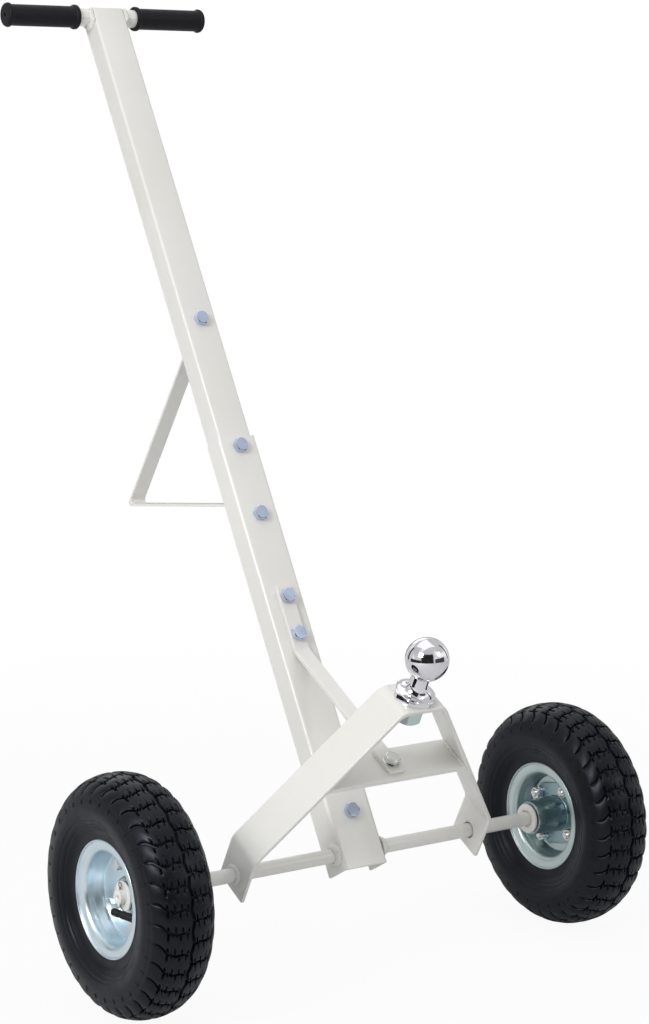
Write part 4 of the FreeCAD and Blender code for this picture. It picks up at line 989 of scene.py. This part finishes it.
def make_hub(side):
    """Pressed hub: barrel with a slight swell and a square flange with rounded corners."""
    face = HUB_FACE
    swell = []
    swell_start = -30.0
    for k in range(17):
        x = swell_start + (face - 1.5 - swell_start) * k / 16
        share = (x - swell_start) / (face - swell_start)
        swell.append((x, HUB_R + HUB_SWELL * sin(pi * 0.80 * share) ** 2))
    outline = [(HUB_IN, HUB_BORE_R), (HUB_IN, HUB_R)] + swell + [
        (face, HUB_R + 1.6), (face, 34.0), (face, HUB_CORNER_R), (-RIM_THICK, HUB_CORNER_R),
        (-RIM_THICK, HUB_R), (HUB_OUT, HUB_R), (HUB_OUT, HUB_BORE_R),
    ]
    radii = [0.4, 1.4] + [0] * len(swell) + [1.0, 0, 1.3, 0.5, 0, 1.2, 0.4]
    hub = lathe(outline, radii, 6, 144)
    radius = np.hypot(hub.points[:, 1], hub.points[:, 2])
    angle = np.arctan2(hub.points[:, 2], hub.points[:, 1]) - bolt_angles(side)[0] + pi / 4
    local = (angle + pi / 4) % (pi / 2) - pi / 4
    reach = np.minimum(HUB_FLAT / np.cos(local), HUB_CORNER_R)
    start = 29.0
    share = np.clip((radius - start) / (HUB_CORNER_R - start), 0, 1)
    target = start + (reach - start) * share
    flange = (radius > start) & (hub.points[:, 0] < 0)
    scale = np.where(flange, target / radius, 1.0)
    hub.points[:, 1:] *= scale[:, None]
    return hub


def wheel_bolt_set(side):
    """Wheel bolts with heads outside, spring washers and nuts inside."""
    radius, pitch, flats, head, nut_height = M8
    washer_thick = 2.0
    inside = HUB_FACE - HAIR
    inward = (-1, 0, 0)
    bolts, washers, nuts = [], [], []
    for k, a in enumerate(bolt_angles(side)):
        y = RIM_BOLT_PITCH_R * cos(a)
        z = RIM_BOLT_PITCH_R * sin(a)
        spin = Matrix.Rotation(0.5 + 1.3 * k, 4, "X")
        one = bolt(radius, pitch, flats, head, 18.0, 6.0).moved(spin)
        bolts.append(one.aimed((RIM_THICK + HAIR, y, z), (1, 0, 0)))
        ring = spring_washer(radius + 0.25, 7.2, washer_thick, 1.0 + 2 * k)
        washers.append(ring.aimed((inside, y, z), inward))
        one = nut(radius - 0.1, flats, nut_height).moved(spin)
        nuts.append(one.aimed((inside - washer_thick - HAIR, y, z), inward))
    return joined(bolts), joined(washers), joined(nuts)


def valve_line(side):
    """Foot and tip of the valve stem, drawn as the right wheel."""
    mirror = -1 if side == "left" else 1
    a = radians(VALVE_TURN[side])
    ends = ((VALVE_FOOT, a), (VALVE_TIP, a + radians(VALVE_SLANT)))
    return [Vector((x, mirror * r * cos(b), r * sin(b))) for (x, r), b in ends]


def add_valve(side, body, place):
    """Rubber valve stem with moulded rings, and its fluted cap."""
    foot, tip = valve_line(side)
    way = (tip - foot).normalized()
    base = foot - way * 6.5
    length = (tip - base).length - 9.0
    outline = [(0, 0.001), (0, 4.8), (8, 4.5), (13, 4.9), (15, 4.9), (16, 4.3), (length - 6, 4.2),
               (length - 5.5, 4.5), (length - 3.5, 4.5), (length - 3, 3.9), (length, 3.8), (length, 2.6),
               (length + 6, 2.6), (length + 6, 0.001)]
    radii = [0, 0.5, 1, 0.6, 0.6, 0.3, 0.3, 0.3, 0.3, 0.3, 0.4, 0.3, 0.3, 0]
    stem = lathe(outline, radii, 3, 40, closed=False)
    make_piece(side + "_valve_stem", stem.aimed(base, way), place, body, sharp=50)
    cap_outline = [(0, 2.75), (0, 4.2), (7.4, 4.2), (9.0, 3.1), (9.0, 0.001)]
    cap = lathe(cap_outline, [0.2, 0.4, 1.2, 0.5, 0], 4, 96, closed=False)
    inner = revolved([(0, 2.75), (6.5, 2.75), (6.5, 0.001)], 96, closed=False)
    angle = np.arctan2(cap.points[:, 2], cap.points[:, 1])
    radius = np.hypot(cap.points[:, 1], cap.points[:, 2])
    on_side = (cap.points[:, 0] > 0.9) & (cap.points[:, 0] < 7.6) & (radius > 3.4)
    flute = np.where(on_side, 1 - 0.07 * np.clip(np.cos(16 * angle), 0, 1), 1.0)
    cap.points[:, 1:] *= flute[:, None]
    make_piece(side + "_valve_cap", (cap + inner).aimed(tip - way * 8.95, way), place, body, sharp=45)


TREAD_PITCHES = 34
TREAD_PITCH = 2 * pi * TYRE_R / TREAD_PITCHES
TREAD_DEPTH = 3.3
GROOVE_SIDE = ((1.05, 1.45, 2.3), (1.0, 0.16, 0.0))     # share of the depth at a distance from its middle
SIPE_SIDE = ((0.45, 0.85), (1.0, 0.0))
# the cross groove runs off by this much round the tyre at each distance from the crown's middle
CROSS_PATH = ((0, 6, 7.5, 15, 19.5, 21, 22.3, 23.6, 25, 27, 30, 33, 37, 41),
              (0, 0, 1.8, 0.9, -0.9, 2.4, -1.2, 2.8, 0.4, 2.2, 5.4, 8.6, 10.8, 11.4))
SIPES = (
    # distance from the crown's middle, span round the tyre from the cross groove, share of the depth
    (4.4, 0.0, 6.0, 0.8), (6.6, 18.0, TREAD_PITCH, 0.8),
    (11.6, 0.0, 6.0, 0.8), (13.6, 18.0, TREAD_PITCH, 0.8),
    (18.6, 0.0, 9.6, 0.6), (26.4, 0.0, 6.5, 0.8), (26.4, 17.0, TREAD_PITCH, 0.8),
)
TREAD_EDGE = 54.0
DASHES = (1.05, TREAD_PITCH - 1.05)
DASH_HEIGHT = 0.7
PILLOW = 1.1
RIBS = (70.0, 77.0)


def tread_columns(length):
    """Distances from the crown's middle at which half a tyre is cut, closer together at each edge."""
    stops = [0.0, *GROOVE_SIDE[0], *CROSS_PATH[0][1:], 40.0, 42.5, 45.0, 47.5, 48.2, 52.8, 53.5]
    for sipe in SIPES:
        stops += [sipe[0] + way * reach for reach in SIPE_SIDE[0] for way in (-1, 1)]
    for rib in RIBS:
        stops += [rib - 1.0, rib, rib + 1.0]
    stops += [56.0, 59.0, 62.0, 65.0, 67.5, 73.5, 80.5, 84.0]
    stops = sorted(set(stops))
    filled = [stops[0]]
    for stop in stops[1:]:
        gap = stop - filled[-1]
        if gap < 0.45:
            continue
        pieces = max(1, ceil(gap / 2.2)) if stop < TREAD_EDGE else 1
        filled += [filled[-1] + gap * k / pieces for k in range(1, pieces + 1)]
    return np.array(filled + list(np.linspace(filled[-1], length, 7)[1:]))


def tread_rows():
    """Distances round one pitch at which the tyre is cut."""
    rows = []
    for middle in (0.0, TREAD_PITCH / 2):
        rows += [middle + way * reach for reach in GROOVE_SIDE[0] for way in (-1, 1)]
        start = middle + GROOVE_SIDE[0][-1]
        span = TREAD_PITCH / 2 - 2 * GROOVE_SIDE[0][-1]
        rows += [start + span * k / 4 for k in (1, 2, 3)]
    return np.array(sorted(row % TREAD_PITCH for row in rows))


def tread_depth(u, t):
    """How far the surface lies below the lugs; u from the crown, t round from the cross groove."""
    from_cross = np.abs((t + TREAD_PITCH / 2) % TREAD_PITCH - TREAD_PITCH / 2)
    cross = np.interp(from_cross, *GROOVE_SIDE) * np.interp(u, (33.0, 40.0, 43.5), (1.0, 0.7, 0.0))
    low = np.maximum(cross, np.interp(u, *GROOVE_SIDE))
    for middle, start, end, share in SIPES:
        inside = np.interp(np.abs(u - middle), *SIPE_SIDE)
        along = np.interp(t % TREAD_PITCH, (start - 2.3, start, end, end + 2.3), (0, 1, 1, 0))
        low = np.maximum(low, share * inside * along)
    edge = (1 - from_cross / (TREAD_PITCH / 2)) ** 2
    low = low + PILLOW / TREAD_DEPTH * edge * np.interp(u, (20.0, 27.0, 38.0, 44.0), (0.3, 1.0, 1.0, 0.0))
    low = low + DASH_HEIGHT / TREAD_DEPTH * np.interp(u, (43.0, 47.0, 54.0, 60.0), (0.0, 1.0, 1.0, 0.0))
    raised = np.zeros_like(u)
    for dash in DASHES:
        on_dash = np.abs(t % TREAD_PITCH - dash) < 0.05
        raised = np.where(on_dash & (u > 47.6) & (u < 53.4), DASH_HEIGHT, raised)
    ribs = sum(0.45 * (np.abs(u - rib) < 0.1) for rib in RIBS)
    return TREAD_DEPTH * low - raised + ribs


def tyre_half_profile():
    """Outer surface of half a tyre section, from the crown to the rim lip, as (x, r) points."""
    points = []
    power = 2 / 2.2                  # a little squarer than an ellipse
    widest_r, half_height = 96.6, 33.4
    bead_r = 73.6
    for k in range(200):
        a = radians(138.0) * k / 199
        x = TYRE_HALF * abs(sin(a)) ** power
        c = cos(a)
        r = widest_r + half_height * copysign(abs(c) ** power, c)
        if c < 0 and r < bead_r:
            break
        points.append((x, r))
    points += [(29.4, 71.0), (28.9, 68.5), (28.6, 66.0), (28.6, RIM_R + 0.3)]
    return np.array(points)


def make_tyre():
    """Tyre with moulded lugs: its section carried round, with rows that follow the cross grooves."""
    outer = tyre_half_profile()
    step = np.hypot(*np.diff(outer, axis=0).T)
    length = np.concatenate([[0], np.cumsum(step)])
    tangent = np.gradient(outer, length, axis=0)
    tangent /= np.hypot(*tangent.T)[:, None]
    half = tread_columns(length[-1])
    across = np.concatenate([-half[:0:-1], half])
    side = np.sign(across)
    u = np.abs(across)
    off = np.interp(u, *CROSS_PATH)
    inner = inner_tyre_profile()
    rows = []
    for pitch in range(TREAD_PITCHES):
        for t in tread_rows():
            wander = 1.8 * (abs((t / TREAD_PITCH) % 1.0 - 0.5) * 4 - 1)
            place = across + wander * np.exp(-((across / 6.0) ** 2))
            reach = np.abs(place)
            way = np.sign(place)
            x = way * np.interp(reach, length, outer[:, 0])
            r = np.interp(reach, length, outer[:, 1])
            normal_x = -way * np.interp(reach, length, tangent[:, 1])
            normal_r = np.interp(reach, length, tangent[:, 0])
            low = tread_depth(u, np.where(side < 0, t + TREAD_PITCH / 2, t + 0 * u))
            x = x - normal_x * low
            r = r - normal_r * low
            a = 2 * pi * pitch / TREAD_PITCHES + (t + off) / TYRE_R
            skin = np.stack([x, r * np.cos(a), r * np.sin(a)], -1)
            rows.append(np.vstack([skin, carried(inner, a[0])]))
    return loft(rows, wrap=True)


def inner_tyre_profile():
    """Beads and lining of the tyre, from the right lip round to the left one."""
    right = [(27.6, RIM_R + 0.2), (24.7, 60.2), (24.7, 53.0), (22.4, SEAT_R + 0.1), (14.0, SEAT_R + 0.1),
             (13.0, 57.0), (22.0, 68.0), (32.0, 90.0), (28.0, 110.0)]
    return np.array(right + [(0.0, 121.5)] + [(-px, pr) for px, pr in reversed(right)])


def add_wheel(side):
    """Every visible piece of one wheel."""
    body = side + "_wheel"
    place = ON_WHEEL[side]
    spin = Matrix.Rotation(0.13 if side == "left" else 1.31, 4, "X")
    bolts, washers, nuts = wheel_bolt_set(side)
    pieces = (
        # name, shape, angle of a sharp edge, look if it isn't the record's
        ("_tyre", make_tyre().moved(spin), 46, None),
        ("_rim_outer_half", make_rim(True), 40, None),
        ("_rim_inner_half", make_rim(False), 40, None),
        ("_hub", make_hub(side), 40, None),
        ("_rim_bolts", bolts, 22, "bolt_zinc_plain"),
        ("_rim_lock_washers", washers, 32.0, None),
        ("_rim_nuts", nuts, 22, "bolt_zinc_plain"),
    )
    for name, shape, sharp, look in pieces:
        make_piece(side + name, shape, place, body, sharp=sharp, look=look)
    seals = []
    for middle, way in BEARING_MIDDLES:
        x0 = middle + way * 3.8
        x1 = x0 + way
        seals.append(lathe([(x0, SEAL_IN), (x0, SEAL_OUT), (x1, SEAL_OUT), (x1, SEAL_IN)], 0.3, 3, 64))
    make_piece(side + "_bearing_seals", joined(seals), place, body)
    add_valve(side, body, place)
    for part in ("inner_tube", "bearing_outer_races", "bearing_balls", "bearing_inner_races"):
        node = side + "_" + part
        dress(NODES[node], SLOT_OF[node], "chassis" if part == "bearing_inner_races" else body)


# ---- studio ----
CAMERA_PLACE = (-1.5545, AXLE.y - 2.1977, 0.9009)
CAMERA_DOWN, CAMERA_TURN = 8.23, -34.51
DARK_CORNERS = (
    # dark things in the studio: from and to as shares of a turn, from and to as shares of height, grey
    (0.19, 0.36, 0.42, 0.53, 0.03), (0.01, 0.185, 0.42, 0.79, 0.02), (0.83, 0.985, 0.42, 0.58, 0.06),
    (0.74, 0.76, 0.46, 0.85, 0.03), (0.40, 0.43, 0.46, 0.80, 0.05), (0.50, 0.64, 0.42, 0.62, 0.30),
)
LAMPS = {
    # place, what it is aimed at, size, power
    "key": ((-3.0, -1.2, 2.2), (0, -0.1, 0.4), (1.3, 1.3), 70),
    "fill": ((1.7, -2.7, 1.9), (0, -0.1, 0.4), (0.9, 0.9), 6),
    "top": ((0.0, 0.3, 3.6), (0, 0, 0), (3.4, 3.4), 21),
    "back": ((1.2, 3.0, 2.2), (0, 0, 0.5), (1.8, 1.4), 6),
}


def add_camera():
    """Camera at the viewing angle of the object's reference view."""
    data = bpy.data.cameras.new("camera")
    data.lens = 87.62
    data.sensor_width = 36.0
    data.clip_end = 60.0
    camera = add_object("camera", data)
    camera.location = CAMERA_PLACE
    camera.rotation_euler = (radians(90 - CAMERA_DOWN), 0, radians(CAMERA_TURN))
    bpy.context.scene.camera = camera


def add_lamp(name, place, aim, size, power):
    """Soft rectangular lamp."""
    data = bpy.data.lights.new(name, "AREA")
    data.shape = "RECTANGLE"
    data.size, data.size_y = size
    data.energy = power
    lamp = add_object(name, data)
    lamp.location = place
    way = Vector(aim) - Vector(place)
    lamp.rotation_euler = way.to_track_quat("-Z", "Y").to_euler()


def add_world():
    """White surround for the camera, an even one for matt light, and a studio for reflections."""
    world = bpy.data.worlds.new("studio")
    world.use_nodes = True
    bpy.context.scene.world = world
    world.node_tree.nodes.clear()
    nodes = Nodes(world.node_tree)

    def level(value, low, high):
        return nodes.add("MapRange", value, From_Min=low, From_Max=high).outputs["Result"]

    def band(value, low, high):
        return nodes.ramp(value, (low - 0.004, 0.0), (low, 1.0), (high, 1.0), (high + 0.004, 0.0))

    way = nodes.add("TexCoord").outputs["Generated"]
    x, y, z = nodes.add("SeparateXYZ", way).outputs
    height = level(z, -1.0, 1.0)
    even = nodes.ramp(height, (0.0, 0.70), (0.45, 0.62), (0.62, 0.74), (1.0, 0.92))
    room = nodes.ramp(height, (0.0, 0.75), (0.50, 0.66), (0.62, 0.72), (0.80, 0.58), (1.0, 0.66))
    bright = nodes.clouds(way, 1.7, 1.0, (0.54, 0.0), (0.66, 0.35), rough=0.4)
    room = nodes.mixed(1.0, room, bright, "ADD")
    turn = level(nodes.add("Math", x, y, operation="ARCTAN2").outputs[0], -pi, pi)
    for low, high, bottom, top, shade in DARK_CORNERS:
        blocked = nodes.mixed(1.0, band(turn, low, high), band(height, bottom, top), "MULTIPLY")
        room = nodes.mixed(blocked, room, shade)
    matt, shiny, white = (
        nodes.add("Background", Color=colour, Strength=strength).outputs[0]
        for colour, strength in ((even, EVEN_LIGHT), (room, 1.0), (1.0, 1.0))
    )
    ray = nodes.add("LightPath").outputs
    unseen = nodes.add("MixShader", ray["Is Glossy Ray"], matt, shiny).outputs[0]
    seen = nodes.add("MixShader", ray["Is Camera Ray"], unseen, white).outputs[0]
    nodes.add("OutputWorld", Surface=seen)


def add_floor():
    """Plain pale floor that fades into the white surround away from the object."""
    disc = revolved([(0, 0.001), (0, 2100.0)], 96, closed=False).aimed((0, 0, 0), (0, 0, 1)).moved(SMALL)
    floor = add_object("floor", new_mesh("floor", disc))
    mat, nodes, where = new_material("studio_floor")
    nodes.shade(Base_Color=0.73, Roughness=0.9, Specular_IOR_Level=0.1)
    distance = nodes.add("VectorMath", where, operation="LENGTH").outputs["Value"]
    fade = nodes.add("MapRange", distance, From_Min=0.6, From_Max=1.9, To_Min=0.93, To_Max=1.0,
                     interpolation_type="SMOOTHSTEP").outputs["Result"]
    glow = nodes.add("Emission", Color=1.0, Strength=1.0).outputs[0]
    seen = nodes.add("LightPath").outputs["Is Camera Ray"]
    share = nodes.add("Math", fade, seen, operation="MULTIPLY").outputs[0]
    matt = mat.node_tree.nodes["Principled BSDF"].outputs[0]
    mix = nodes.add("MixShader", share, matt, glow).outputs[0]
    nodes.set(mat.node_tree.nodes["Material Output"], Surface=mix)
    floor.data.materials.append(mat)


def add_studio():
    """World, floor, lamps, camera and view."""
    add_world()
    add_floor()
    for name, settings in LAMPS.items():
        add_lamp(name, *settings)
    add_camera()
    bpy.context.scene.view_settings.view_transform = "Standard"


# ---- build ----
add_upper_tube()
add_handlebar()
add_grips()
add_channel_and_bracket()
add_kickstand_and_strap()
add_a_frame()
add_shelf()
add_hitch_ball()
add_fasteners()
add_axle()
add_wheel("left")
add_wheel("right")
add_studio()
